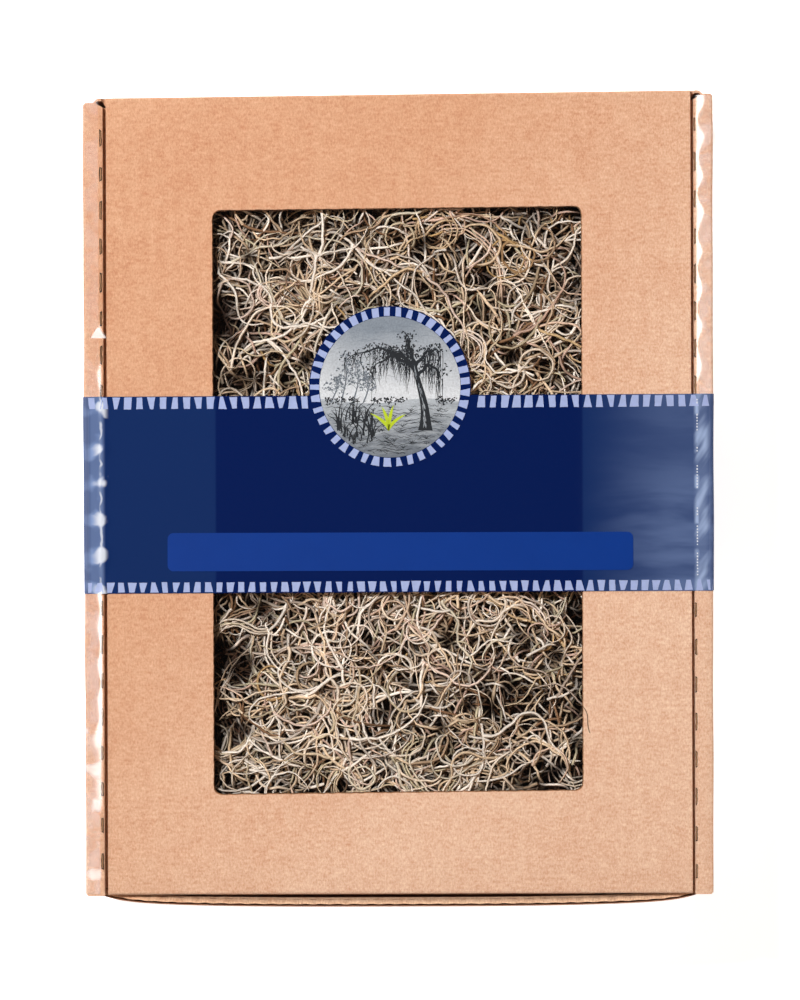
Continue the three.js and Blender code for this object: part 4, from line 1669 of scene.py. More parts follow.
@dataclass
class PrintedBand:
    """The navy band: its skin, the pale bars along both edges, the badge and the pricked line at its right
    end.
    """

    wrap: Wrap
    dashes: DashRows
    width: float = 75.1 * MM
    place_off: float = -0.2 * MM
    off: float = 0.2 * MM
    thickness: float = 0.12 * MM
    print_thickness: float = 0.03 * MM
    step: float = 1.5 * MM
    top_pitch: float = 4.5 * MM
    foot_pitch: float = 4.16 * MM
    bar_share: float = 0.56
    top_bar: float = 4.5 * MM
    foot_bar: float = 3.9 * MM
    bar_inset: float = 0.3 * MM
    badge_radius: float = 30.8 * MM
    badge_clearance: float = 1.4 * MM
    badge_x: float = -3.4 * MM
    badge_off_middle: float = 41.1 * MM
    disc_points: int = 128
    ring_bars: int = 41
    ring_bar: float = 3.5 * MM
    ring_share: float = 0.53
    tear_pitch: float = 1.15 * MM
    tear_dot: tuple[float, float] = (0.6 * MM, 0.5 * MM)
    tear_dot_points: int = 18
    tear_x: float = 113.7 * MM
    picture_radius: float = 26.9 * MM

    def __post_init__(self) -> None:
        """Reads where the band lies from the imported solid."""
        self.low_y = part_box("printed_band")[0].y + self.place_off
        self.high_y = self.low_y + self.width
        self.badge_y = self.wrap.sizes.middle_y + self.badge_off_middle
        self.top = self.wrap.sizes.high.z + self.off + self.thickness
        self.ink = PrintedFilm(top=self.wrap.sizes.high.z).material()
        self.pale = PlainInk("pale_blue_ink", "#a9b9e6").material()

    def disc(self, name: str, radius: float, low: float, high: float,
             finish: Material) -> Piece:
        """A flat round plate on the badge's centre.

        Args:
            name: the piece's name.
            radius: the plate's radius.
            low: its underside.
            high: its upper face.
            finish: its material.

        Returns:
            The plate.
        """
        angles = np.linspace(0, TURN, self.disc_points + 1)[:-1]
        x, y = self.badge_x + radius * np.cos(angles), self.badge_y + radius * np.sin(angles)
        rings = [np.stack([x, y, np.full_like(angles, z)], 1) for z in (low, high)]
        return skinned(name, rings, [finish], sharp=30)

    def edge_bars(self, name: str, middle: float, width: float, least: float, seed: int) -> Piece:
        """One row of pale bars all the way round, laid on the band.

        Args:
            name: the piece's name.
            middle: the row's middle line in Y.
            width: the bars' size in Y.
            least: their least pitch.
            seed: for their unevenness.

        Returns:
            The row, without the bars that the badge covers.
        """
        whole = self.wrap.length()
        count = round(whole / least)
        pitch = whole / count
        bar = (pitch * self.bar_share, width, self.print_thickness)
        row = self.dashes.row(name, whole + pitch / 2, pitch, bar, self.pale, seed, 0.42, 0.16 * MM,
                              steps=(3, 4))

        def clear_of_badge(middles: Array) -> Array:
            """True for the bars that lie outside the badge's rim.

            Args:
                middles: the bars' middles in the straight row.

            Returns:
                One truth for each bar.
            """
            at = self.wrap.surface(middles[:, 0], np.full(len(middles), middle), np.zeros(len(middles)))
            from_badge = np.hypot(at[:, 0] - self.badge_x, at[:, 1] - self.badge_y)
            return (from_badge > self.badge_radius + self.badge_clearance) | (at[:, 2] < self.wrap.middle_z)

        kept_where(row, clear_of_badge, len(row.data.vertices) // count)
        lift = self.off + self.thickness + self.print_thickness / 2
        return remapped(row, lambda p: self.wrap.surface(p[:, 0], middle + p[:, 1], lift + p[:, 2]))

    def ring_row(self) -> Piece:
        """The ring of pale bars round the badge.

        Returns:
            The ring.
        """
        pitch = TURN * self.badge_radius / self.ring_bars
        bar = (pitch * self.ring_share, self.ring_bar, self.print_thickness)
        row = self.dashes.row("badge_ring_bars", self.ring_bars * pitch + pitch / 2, pitch, bar, self.pale,
                              17, 0.3, 0.14 * MM, steps=(4, 3))
        middle = self.badge_radius - self.bar_inset - self.ring_bar / 2
        height = self.top + self.thickness + self.print_thickness

        def around(p: Array) -> Array:
            """Bends the straight row into the ring.

            Args:
                p: the row's points.

            Returns:
                Their places in the ring.
            """
            angle, radius = p[:, 0] / self.badge_radius, middle + p[:, 1]
            return np.stack([self.badge_x + radius * np.cos(angle), self.badge_y + radius * np.sin(angle),
                             height + p[:, 2]], 1)

        return remapped(row, around)

    def tear_dots(self) -> Piece:
        """The line of small pricked holes down the band's right end, as their bright raised rims.

        Returns:
            The line.
        """
        rim = PlainInk("pricked_film_rim", "#dfe6f2").material()
        row = self.dashes.row("tear_dots", self.width - 2 * MM, self.tear_pitch,
                              (*self.tear_dot, self.print_thickness), rim, 23, 0.1, 0.12 * MM)
        count = len(row.data.vertices) // self.tear_dot_points
        shown = waves(np.arange(count) * self.tear_pitch, (17, 29, 11), 5) > -0.15
        kept_where(row, lambda middles: shown[:len(middles)], self.tear_dot_points)
        wrap = self.wrap
        top_run = wrap.flat_half * 2 + 2 * wrap.quarter + 2 * wrap.flat_high - self.tear_x
        lift = self.off + self.thickness + self.print_thickness
        return remapped(row, lambda p: wrap.surface(
            top_run - p[:, 1], self.low_y + MM + p[:, 0], lift + p[:, 2]))

    def build(self) -> None:
        """Builds and dresses the band and all that is printed on it."""
        dressed(self.wrap.skin("navy_band", self.low_y, self.high_y, self.off, self.thickness, self.step,
                               self.ink), "navy_print", "printed_band")
        level = self.top + self.thickness
        rim = self.disc("badge_disc", self.badge_radius, self.top, level, self.ink)
        dressed(rim, "navy_print", "printed_band")
        top_row = self.high_y - self.bar_inset - self.top_bar / 2
        foot_row = self.low_y + self.bar_inset + self.foot_bar / 2
        dressed(self.edge_bars("upper_edge_bars", top_row, self.top_bar, self.top_pitch, 11), "navy_print")
        dressed(self.edge_bars("lower_edge_bars", foot_row, self.foot_bar, self.foot_pitch, 12), "navy_print")
        dressed(self.ring_row(), "navy_print")
        dressed(self.tear_dots(), "navy_print")
        ground = EngravedScene(centre_y=self.badge_y, radius=self.picture_radius).material()
        picture = self.disc("badge_picture", self.picture_radius, level, level + self.print_thickness, ground)
        dressed(picture, "navy_print")
        BadgeMotif(self.badge_x, self.badge_y, self.picture_radius, level + self.print_thickness).build()


@dataclass
class BadgeMotif:
    """The badge's plain emblem, drawn as an engraver would: a broad old tree at the right whose
    boughs are hung with moss, reeds at the lower left, bushes on the skyline, and a small fresh
    sprig in yellow-green. Places and lengths on it are shares of the picture's radius."""

    x: float
    y: float
    radius: float
    level: float
    seed: int = 9
    stroke: float = 0.2 * MM
    rim: float = 0.97
    layer_step: float = 2e-8

    def __post_init__(self) -> None:
        """Starts the draw and the ink's mesh."""
        self.random = np.random.default_rng(self.seed)
        self.points: list[Array] = []
        self.faces: list[list[int]] = []

    def ribbon(self, x: Array, y: Array, half: Array, rise: float = 0.02 * MM) -> None:
        """Adds one flat stroke.

        Args:
            x: its middle line across the picture.
            y: its middle line up the picture.
            half: half its width at each point, in metres.
            rise: its thickness.
        """
        line = np.stack(np.broadcast_arrays(x, y), 1)
        inside = np.hypot(line[:, 0], line[:, 1]) < self.rim
        if inside.sum() < 2:
            return
        line, half = line[inside], half[inside]
        tangent = np.gradient(line, axis=0)
        side = np.stack([-tangent[:, 1], tangent[:, 0]], 1)
        side /= np.maximum(np.hypot(side[:, 0], side[:, 1]), 1e-9)[:, None]
        flat = np.array([self.x, self.y]) + self.radius * line
        left, right = flat - side * half[:, None], flat + side * half[:, None]
        self.level += self.layer_step
        low, high = np.full(len(line), self.level), np.full(len(line), self.level + rise)
        rings = np.stack([np.column_stack([left, low]), np.column_stack([right, low]),
                          np.column_stack([right, high]), np.column_stack([left, high])], 1)
        start = sum(len(p) for p in self.points)
        skin, quads, _ = swept(list(rings))
        self.points.append(skin)
        self.faces += [[start + i for i in quad] for quad in quads]

    def finished(self, name: str, ink: PlainInk) -> None:
        """Makes a piece of the strokes added so far, dresses it and starts afresh.

        Args:
            name: the piece's name.
            ink: its ink.
        """
        piece = new_piece(name, np.concatenate(self.points), self.faces, [ink.material()], smooth=False)
        dressed(facing_out(piece), "navy_print")
        self.points, self.faces = [], []

    def leaf_cloud(self, centre: Array, spread: float, count: int) -> None:
        """Adds small leaves scattered round a place.

        Args:
            centre: the place.
            spread: how far they scatter.
            count: how many there are.
        """
        r = self.random
        for _ in range(count):
            at = centre + r.normal(0, spread, 2) * (1.3, 0.7)
            turn, long = r.uniform(0, math.pi), r.uniform(0.02, 0.045)
            way = np.array([math.cos(turn), math.sin(turn)])
            line = at + np.outer([-0.5, 0.0, 0.5], way * long)
            self.ribbon(*line.T, self.stroke * np.array([0.25, 1.5, 0.25]))

    def trunk(self, t: Array) -> tuple[Array, Array]:
        """The trunk's middle line at heights from 0 to 1."""
        return 0.5 - 0.12 * t + 0.03 * np.sin(5 * t), -0.62 + 0.98 * t

    def tree(self) -> None:
        """Adds the trunk, its boughs, their foliage and the hanging moss."""
        r = self.random
        t = np.linspace(0, 1, 14)
        trunk = self.trunk(t)
        self.ribbon(*trunk, self.stroke * (9.0 - 5.5 * t + 5.0 * (1 - t) ** 6))
        for start, reach, lift, bow in (
            (0.95, -0.98, 0.1, 0.2), (0.86, -0.66, 0.0, 0.22), (0.9, -0.42, 0.3, 0.1),
            (0.97, 0.36, 0.22, 0.1), (0.8, 0.34, 0.02, 0.16), (0.97, -0.12, 0.42, 0.02),
        ):
            root_x, root_y = (line[int(start * 13)] for line in trunk)
            bough = np.stack([root_x + reach * t, root_y + lift * t + bow * np.sin(math.pi * t)
                              + 0.02 * np.sin(17 * t + reach)], 1)
            self.ribbon(*bough.T, self.stroke * (3.6 - 3.0 * t))
            for number in range(3, 14):
                self.leaf_cloud(bough[number] + (0, 0.03), 0.055, 7)
                for _ in range(3):
                    top = bough[number] + r.normal(0, 0.02, 2)
                    drop = r.uniform(0.14, 0.5) * (0.5 + 0.5 * abs(math.sin(7.0 * top[0])))
                    sway = r.uniform(-0.03, 0.03)
                    self.ribbon(top[0] + sway * np.sin(6 * t) + 0.5 * sway * t, top[1] - drop * t,
                                self.stroke * r.uniform(0.5, 1.1) * (1 - 0.8 * t))

    def ground(self) -> None:
        """Adds the skyline's bushes, the reeds and the hatching of the land."""
        r = self.random
        t = np.linspace(0, 1, 8)
        for place in (-0.86, -0.7, -0.52, -0.2, -0.04, 0.14, 0.74, 0.88):
            self.leaf_cloud(np.array([place, -0.19]), 0.036, 22)
        for _ in range(64):
            x, y = r.uniform(-0.76, -0.2), r.uniform(-0.82, -0.42)
            lean, tall = r.normal(0, 0.12), r.uniform(0.18, 0.46)
            self.ribbon(x + lean * t ** 2, y + tall * t * (1 - 0.2 * t),
                        self.stroke * 1.5 * (1 - 0.9 * t) + 0.02 * MM)
        for _ in range(230):
            x, y, long = r.uniform(-0.95, 0.8), -0.24 - 0.7 * r.uniform(0, 1) ** 0.8, r.uniform(0.06, 0.26)
            self.ribbon(x + long * t, y + 0.01 * np.sin(8 * t + 9 * x),
                        self.stroke * 0.45 * np.sin(math.pi * t) + 0.01 * MM)
        for _ in range(34):
            x, y = r.uniform(-0.6, 0.85), r.uniform(-0.88, -0.3)
            for lean in (-0.06, -0.02, 0.03, 0.07):
                self.ribbon(x + lean * t, y + 0.07 * t * (1 - 0.3 * t),
                            self.stroke * 0.6 * (1 - 0.9 * t) + 0.01 * MM)

    def far_grove(self) -> None:
        """Adds the paler trees that stand far off at the left, and the clouds' engraved lines."""
        r, t = self.random, np.linspace(0, 1, 9)
        for place, tall in ((-0.66, 0.62), (-0.5, 0.5), (-0.36, 0.34), (-0.8, 0.3)):
            stem = np.stack([place + 0.05 * np.sin(3 * t + place), -0.22 + tall * t], 1)
            self.ribbon(*stem.T, self.stroke * (1.5 - 0.9 * t))
            for number in range(3, 9):
                for side in (-1, 1):
                    reach = side * r.uniform(0.08, 0.2) * (1.15 - t[number])
                    twig = stem[number] + np.stack([reach * t, 0.07 * np.sin(2.6 * t)], 1)
                    self.ribbon(*twig.T, self.stroke * 0.5 * (1 - 0.7 * t))
                    self.leaf_cloud(twig[6], 0.03, 6)
        for _ in range(70):
            x, y, long = r.uniform(-0.8, 0.55), r.uniform(0.1, 0.85), r.uniform(0.08, 0.3)
            self.ribbon(x + long * t, y + 0.012 * np.sin(5 * t + 7 * y),
                        self.stroke * 0.22 * np.sin(math.pi * t) + 0.006 * MM)

    def bark(self) -> None:
        """Adds the light that an engraver leaves down one side of the trunk."""
        r, t = self.random, np.linspace(0, 1, 7)
        for _ in range(46):
            low = r.uniform(0.02, 0.86)
            x, y = self.trunk(low + r.uniform(0.03, 0.1) * t)
            across = r.uniform(-0.6, 0.15) * (0.058 - 0.034 * low)
            self.ribbon(x + across, y, self.stroke * 0.4 * np.sin(math.pi * t) + 0.01 * MM)

    def sprig(self) -> None:
        """Adds the fresh sprig's slim leaves."""
        t = np.linspace(0, 1, 10)
        for lean, tall in ((-0.26, 0.3), (-0.1, 0.42), (0.07, 0.44), (0.24, 0.28)):
            self.ribbon(-0.02 + lean * t ** 1.6, -0.62 + tall * t * (1 - 0.18 * t),
                        self.stroke * 3.2 * np.sin(math.pi * (0.12 + 0.86 * t)), 0.04 * MM)

    def build(self) -> None:
        """Builds and dresses the emblem."""
        engraved = partial(PlainInk, uneven=0.35, grain_mm=0.7)
        self.far_grove()
        self.finished("badge_far_grove", engraved("pale_engraving_ink", "#6f7983"))
        self.tree()
        self.ground()
        self.finished("badge_strokes", engraved("engraving_grey_ink", "#272b30"))
        self.bark()
        self.finished("badge_bark", engraved("bark_light_ink", "#aab2ba"))
        self.sprig()
        self.finished("badge_sprig", PlainInk("yellow_green_ink", "#c3d92b"))


@dataclass
class Sticker:
    """The plain blue strip on the band, a little satin, with corners cut round."""

    wrap: Wrap
    corner: float = 2.3 * MM
    thickness: float = 0.1 * MM
    above_lid: float = 0.32 * MM
    gap: float = 0.06 * MM

    def build(self) -> None:
        """Builds and dresses the sticker."""
        low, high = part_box("blue_sticker")
        level = self.wrap.sizes.high.z + self.above_lid + self.gap
        middle = (low + high) / 2
        loop = rounded_loop(high.x - low.x, high.y - low.y, self.corner)
        rings = [np.column_stack([loop + (middle.x, middle.y), np.full(len(loop), z)])
                 for z in (level, level + self.thickness)]
        ink = PlainInk("blue_sticker_film", "#00388f", uneven=0.07, grain_mm=11.0, roughness=0.3)
        sticker = skinned("plain_sticker", rings, [ink.material()], sharp=0, smooth=False)
        dressed(sticker, "blue_sticker", "blue_sticker")


# ---------------------------------------------------------------- the moss


class Tint(Enum):
    """The tints that dried strands come in, with the share of strands that have each."""

    STRAW = ("#ead1b2", 0.32)
    CREAM = ("#fff5e8", 0.35)
    PINK_BEIGE = ("#e2c2b0", 0.12)
    GREY_GREEN = ("#ccc1a4", 0.10)
    OCHRE = ("#d6b27e", 0.03)
    BROWN = ("#8c6c52", 0.12)


class Depth(Enum):
    """The bunch's layers: strands, points on each, sides, least and most length, half width and
    depth of the middle in millimetres, and how far a strand swings up and down."""

    MAT = (2700, 12, 3, (11, 26), (0.34, 0.5), (7.0, 15.0), 2.0)
    MIDDLE = (2500, 20, 4, (16, 44), (0.4, 0.58), (2.5, 8.5), 2.6)


@dataclass
class Strands:
    """Middle lines of many strands, with the same number of points each."""

    places: Array
    half_width: Array
    tint: Array

    def part(self, chosen: Array) -> "Strands":
        """The chosen strands alone."""
        return Strands(self.places[chosen], self.half_width[chosen], self.tint[chosen])

    def mesh(self, name: str, painted_depth_shade: Array | float = 0.0) -> Mesh:
        """The lines as a mesh of edges, with half width, tint and painted depth shade on its points.

        Args:
            name: the mesh's name.
            painted_depth_shade: how deep each point lies, from 0 to 1, which sets its painted shade.

        Returns:
            The mesh.
        """
        strands, points = self.places.shape[:2]
        mesh = bpy.data.meshes.new(name)
        mesh.vertices.add(strands * points)
        mesh.vertices.foreach_set("co", self.places.ravel())
        first = (np.arange(strands)[:, None] * points + np.arange(points - 1)[None]).ravel()
        mesh.edges.add(len(first))
        mesh.edges.foreach_set("vertices", np.stack([first, first + 1], 1).ravel().astype(np.int32))
        rgba = np.concatenate([np.repeat(self.tint, points, 0), np.ones((strands * points, 1))], 1)
        for label, kind, field, values in (
            ("half_width", "FLOAT", "value", self.half_width),
            ("painted_depth_shade", "FLOAT", "value", np.broadcast_to(painted_depth_shade, (strands, points))),
            ("tint", "FLOAT_COLOR", "color", rgba),
        ):
            attribute = mesh.attributes.new(label, kind, "POINT")
            attribute.data.foreach_set(field, values.ravel().astype(np.float32))
        mesh.update()
        return mesh


@dataclass
class MossBunch:
    """The bunch: branched sprigs whose thread-like leaves wind, hook and loop over each other,
    over looser short strands and a mat painted dark as shade, pressed under the lid and standing
    up a little into its window."""

    sizes: BoxSizes
    seed: int = 20
    sprigs: int = 310
    leaf_points: int = 30
    stem_points: int = 34
    leaf_half: float = 0.52 * MM
    stem_half: float = 0.6 * MM
    stem_lengths: tuple[float, float] = (34, 80)
    leaf_lengths: tuple[float, float] = (16, 52)
    side_lengths: tuple[float, float] = (40, 90)
    stem_depth: float = 5.0 * MM
    stem_roll: float = 1.8 * MM
    kink_size: float = 2.2 * MM
    kink_spacing: float = 4.5 * MM
    film_gap: float = 0.9 * MM
    lid_gap: float = 1.0 * MM
    face_drop: float = 2.8 * MM
    crease_drops: tuple[float, float] = (2.9 * MM, 0.4 * MM)
    margin: float = 7 * MM
    core_depth: float = 17 * MM
    pits: int = 22
    hollows_mm: tuple[tuple[float, float, float], ...] = (
        (-67, 69, 5.5), (33, 84, 3), (-35, 53, 3), (9, 98, 3.5), (-66, -58, 4), (-62, -67, 4),
        (-52, -41, 4.5), (60, -60, 3.5), (-60, -88, 4), (35, -80, 3), (60, -104, 3))
    hollow_depth: float = 6 * MM
    # Where the strands' painted depth shade starts and where it is darkest.
    lit_depth: float = 1.5 * MM
    dark_depth: float = 6.8 * MM
    locks: int = 90
    lock_spread: float = 1.7 * MM
    side_strands: int = 420
    face_shares: tuple[float, ...] = (0.14, 0.14, 0.12, 0.12, 0.26, 0.22)
    most_turned: float = 6.8
    hidden: tuple[float, float] = (9 * MM, 66 * MM)
    hidden_share: float = 0.35
    stray_place: float = 78 * MM
    piece_limit: int = 190_000

    def __post_init__(self) -> None:
        """Starts the draw and the strand tree, and places the pits."""
        s = self.sizes
        self.random = np.random.default_rng(self.seed)
        self.finish = DriedFibre().material()
        self.tree = self.strand_tree()
        r, n, hollows = self.random, self.pits, np.array(self.hollows_mm) * MM
        drawn = np.stack([s.window_x + r.uniform(-0.5, 0.5, n) * s.window_width,
                          s.window_y + r.uniform(-0.5, 0.5, n) * s.window_length], 1)
        self.pit_places = np.concatenate([drawn, hollows[:, :2]])
        self.pit_sizes = np.concatenate([r.uniform(2.0, 4.5, n) * MM, hollows[:, 2]])
        same_depth = np.full(len(hollows), self.hollow_depth)
        self.pit_depths = np.concatenate([r.uniform(3.0, 8.0, n) * MM, same_depth])

    def strand_tree(self) -> Tree:
        """Geometry Nodes: small kinks along each line, then a few-sided rod round it.

        Returns:
            The tree.
        """
        tree, given = geometry_tree("wiry_strands", {
            "Strand sides": "Int", "Kink size": "Float", "Kink spacing": "Float", "Seed": "Int",
            "Finish": "Material"})
        add = partial(add_node, tree)
        curve = add("GeometryNodeMeshToCurve", given["Geometry"])
        scale = add(Kind.OVER, 1.0, given["Kink spacing"])
        noise = add(Kind.POINT_NOISE, add(Kind.POSITION), w=given["Seed"], scale=scale, detail=1.0)
        centred = add(Kind.VECTOR_MINUS, noise.outputs["Color"], (0.5, 0.5, 0.5))
        kinked = add(Kind.MOVED, curve, offset=add(Kind.SCALED, centred, given["Kink size"]))
        profile = add("GeometryNodeCurvePrimitiveCircle", resolution=given["Strand sides"], radius=1.0)
        width = add(Kind.RECALLED, name="half_width", data_type="FLOAT")
        rod = add("GeometryNodeCurveToMesh", curve=kinked, profile_curve=profile, scale=width, fill_caps=True)
        finish_tree(add, add("GeometryNodeSetShadeSmooth", rod), given["Finish"])
        return tree

    def roof(self, x: Array, y: Array, pitted: bool = True) -> Array:
        """The highest that a strand's middle may lie, under the lid or in the window.

        Args:
            x: places across the box.
            y: places along it.
            pitted: whether the face has its pits, or only its lumps.

        Returns:
            The height at each place.
        """
        s = self.sizes
        lumps = (waves(x + 0.6 * y, (51, 31), 21) + waves(y - 0.5 * x, (43, 27), 22)) / 2
        surface = s.high.z - self.face_drop + self.face_drop * lumps
        for place, size, depth in zip(self.pit_places, self.pit_sizes, self.pit_depths) if pitted else ():
            surface = surface - depth * np.exp(-((x - place[0]) ** 2 + (y - place[1]) ** 2) / size ** 2)
        side = s.window_width / 2 - np.abs(x - s.window_x)
        end = s.window_length / 2 - np.abs(y - s.window_y)
        inside = smoothed(np.minimum(side, end), -1 * MM, 7 * MM)
        if not pitted:
            return np.minimum(surface, s.high.z - self.film_gap)
        near_left = smoothed(x - s.window_x + s.window_width / 2, 0, 9 * MM)
        near_right = smoothed(s.window_width / 2 - x + s.window_x, 0, 8 * MM)
        at_left, at_right = self.crease_drops
        surface = surface - at_left * (1 - near_left) - at_right * (1 - near_right)
        under_film, under_lid = s.high.z - self.film_gap, s.lid_under - self.lid_gap
        return np.minimum(surface, under_lid + (under_film - under_lid) * inside)

    def tints(self, count: int) -> Array:
        """A linear colour for each strand, drawn by the tints' shares.

        Args:
            count: the number of strands.

        Returns:
            Their colours.
        """
        shares = np.array([tint.value[1] for tint in Tint])
        colours = np.array([linear(tint.value[0])[:3] for tint in Tint])
        chosen = self.random.choice(len(shares), count, p=shares / shares.sum())
        return colours[chosen] * self.random.uniform(0.72, 1.12, (count, 1))

    def walked(self, start: Array, heading: Array, length: Array, bend: Array) -> tuple:
        """Flat lines that start somewhere and bend as they go.

        Args:
            start: where each line starts, in X and Y.
            heading: its first direction.
            length: its length.
            bend: its curvature at each point.

        Returns:
            X, Y and direction at each point.
        """
        points = bend.shape[1]
        step = (length / (points - 1))[:, None]
        angle = heading[:, None] + np.cumsum(bend * step, 1) - bend[:, :1] * step
        x = start[:, :1] + np.cumsum(np.cos(angle) * step, 1) - np.cos(angle[:, :1]) * step
        y = start[:, 1:] + np.cumsum(np.sin(angle) * step, 1) - np.sin(angle[:, :1]) * step
        return x, y, angle

    def bends(self, length: Array, points: int, turn: Array) -> Array:
        """Curvatures of strands that waver, hook at the tip, coil or sweep, in turns per metre.

        Args:
            length: each strand's length.
            points: how many points each has.
            turn: which way each bends, -1 or 1.

        Returns:
            Its curvature at each point.
        """
        r, n = self.random, len(length)
        share = np.linspace(0, 1, points)[None]
        kind = r.choice(4, n, p=[0.34, 0.30, 0.14, 0.22])
        steady, hook, wavy = (np.choose(kind, [r.uniform(*ends, n) for ends in row]) for row in (
            ((0, 35), (5, 45), (110, 230), (12, 48)),
            ((0, 90), (130, 330), (-70, 60), (0, 70)),
            ((60, 190), (10, 80), (0, 45), (10, 50))))
        period, phase = r.uniform(13, 34, (n, 1)) * MM, r.uniform(0, TURN, (n, 1))
        power = r.uniform(0.9, 3.0, (n, 1))
        whole = np.abs(steady + hook / (power[:, 0] + 1)) * length
        held = self.most_turned / np.maximum(whole, self.most_turned)
        steady, hook = steady * held, hook * held
        swing = wavy[:, None] * np.sin(TURN * share * length[:, None] / period + phase)
        return turn[:, None] * (steady[:, None] + hook[:, None] * share ** power) + swing

    def rolling(self, along: Array, least: float, most: float) -> Array:
        """Sines along the strands, whose lengths are drawn between two sizes in millimetres."""
        r, each = self.random, (len(along), 1)
        return np.sin(TURN * along / (r.uniform(least, most, each) * MM) + r.uniform(0, 6.28, each))

    def stems(self) -> tuple[Strands, Array]:
        """The sprigs' wiry stems, and their directions.

        Returns:
            The stems, and their directions at each point.
        """
        s, r, n, p = self.sizes, self.random, self.sprigs, self.stem_points
        start = np.stack([
            s.window_x + r.uniform(-1, 1, n) * (s.window_width / 2 + self.margin),
            s.window_y + r.uniform(-1, 1, n) * (s.window_length / 2 + self.margin)], 1)
        length = r.uniform(*self.stem_lengths, n) * MM
        along = np.linspace(0, 1, p)[None] * length[:, None]
        sway = r.uniform(20, 95, (n, 1)) * self.rolling(along, 22, 52)
        x, y, angle = self.walked(start, r.uniform(0, TURN, n), length, sway + r.normal(0, 16, (n, 1)))
        low = self.stem_depth * r.uniform(0, 1, (n, 1)) ** 1.4
        z = self.roof(x, y) - low - self.stem_roll * (1 + self.rolling(along, 24, 60))
        half = self.stem_half * r.uniform(0.8, 1.15, (n, 1)) * np.linspace(1.0, 0.8, p)[None]
        return Strands(np.stack([x, y, z], 2), half, self.tints(n)), angle

    def leaves(self, stems: Strands, angle: Array) -> Strands:
        """The thread-like leaves, in whorls along the stems.

        Args:
            stems: the stems that they grow from.
            angle: the stems' directions at their points.

        Returns:
            All leaves of all sprigs.
        """
        r, p = self.random, self.leaf_points
        stem, knot, _ = (grid.ravel() for grid in np.meshgrid(
            np.arange(len(stems.places)), np.arange(3, self.stem_points, 7), np.arange(2), indexing="ij"))
        keep = r.uniform(0, 1, len(stem)) < 0.9
        stem, knot = stem[keep], knot[keep]
        n = len(stem)
        root = stems.places[stem, knot]
        side = r.choice([-1.0, 1.0], n)
        heading = angle[stem, knot] + side * np.radians(r.uniform(8, 70, n))
        length = r.uniform(*self.leaf_lengths, n) * MM
        share = np.linspace(0, 1, p)[None]
        bend = self.bends(length, p, side * r.choice([-1.0, 1.0], n, p=[0.3, 0.7]))
        x, y, _ = self.walked(root[:, :2], heading, length, bend)
        rise = r.normal(0.5, 3.6, (n, 1)) * MM * np.sin(math.pi * share * r.uniform(0.5, 1.6, (n, 1)))
        roof = self.roof(x, y)
        z = np.clip(root[:, 2:] + rise, roof - 12 * MM, roof)
        half = self.leaf_half * r.uniform(0.6, 1.3, (n, 1)) * (1 - 0.6 * share ** 2.4)
        half = half * (1 + 0.5 * np.exp(-(share / 0.05) ** 2))
        tint = 0.35 * stems.tint[stem] + 0.65 * self.tints(n)
        return Strands(np.stack([x, y, z], 2), half, tint)

    def combed(self, leaves: Strands) -> Strands:
        """Locks: some leaves again, twice each, side by side as combed strands lie.

        Args:
            leaves: the leaves to draw them from.

        Returns:
            The added strands.
        """
        r, copies = self.random, 2
        chosen = np.repeat(r.choice(len(leaves.places), self.locks, replace=False), copies)
        base, n, p = leaves.places[chosen], self.locks * copies, self.leaf_points
        way = np.gradient(base[:, :, :2], axis=1)
        way /= np.maximum(np.linalg.norm(way, axis=2, keepdims=True), 1e-9)
        number = np.tile([-1.0, 1.0], self.locks) * self.lock_spread * r.uniform(0.7, 1.2, n)
        share = np.linspace(0, 1, p)[None]
        fan = number[:, None] * (0.55 + r.uniform(-0.2, 1.1, (n, 1)) * share)
        places = base.copy()
        places[:, :, 0] -= way[:, :, 1] * fan
        places[:, :, 1] += way[:, :, 0] * fan
        places[:, :, 2] += r.uniform(-1.6, 0.4, (n, 1)) * MM
        half = self.leaf_half * r.uniform(0.7, 1.05, (n, 1)) * (1 - 0.5 * share ** 2)
        return Strands(places, half, 0.6 * leaves.tint[chosen] + 0.4 * self.tints(n))

    def loose(self, layer: Depth) -> Strands:
        """Loose strands of one layer, spread over the window.

        Args:
            layer: the layer.

        Returns:
            Its strands.
        """
        s, r = self.sizes, self.random
        n, p, _, long, thick, deep, swing = layer.value
        length = r.uniform(*long, n) * MM
        share = np.linspace(0, 1, p)[None]
        bend = self.bends(length, p, r.choice([-1.0, 1.0], n))
        u, v, _ = self.walked(np.zeros((n, 2)), r.uniform(0, TURN, n), length, bend)
        x, y = (middle + r.uniform(-1, 1, (n, 1)) * (size / 2 + 4 * MM) + line - line.mean(1, keepdims=True)
                for middle, size, line in ((s.window_x, s.window_width, u), (s.window_y, s.window_length, v)))
        roll = self.rolling(share * length[:, None], 14, 40)
        z = self.roof(x, y) - r.uniform(*deep, (n, 1)) * MM + swing * MM * roll
        half = r.uniform(*thick, (n, 1)) * MM * (1 - 0.45 * share ** 3)
        return Strands(np.stack([x, y, z], 2), half, self.tints(n))

    def seen(self, strands: Strands) -> Array:
        """True for the strands whose middle lies in or just past the window, thinned under the band.

        Args:
            strands: the strands to look at.

        Returns:
            One truth for each strand.
        """
        s = self.sizes
        middle = strands.places[:, strands.places.shape[1] // 2]
        inside = ((np.abs(middle[:, 0] - s.window_x) < s.window_width / 2 + self.margin)
                  & (np.abs(middle[:, 1] - s.window_y) < s.window_length / 2 + self.margin))
        low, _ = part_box("printed_band")
        covered = (middle[:, 1] > low.y + self.hidden[0]) & (middle[:, 1] < low.y + self.hidden[1])
        thin = self.random.uniform(0, 1, len(middle)) < self.hidden_share
        return inside & (~covered | thin)

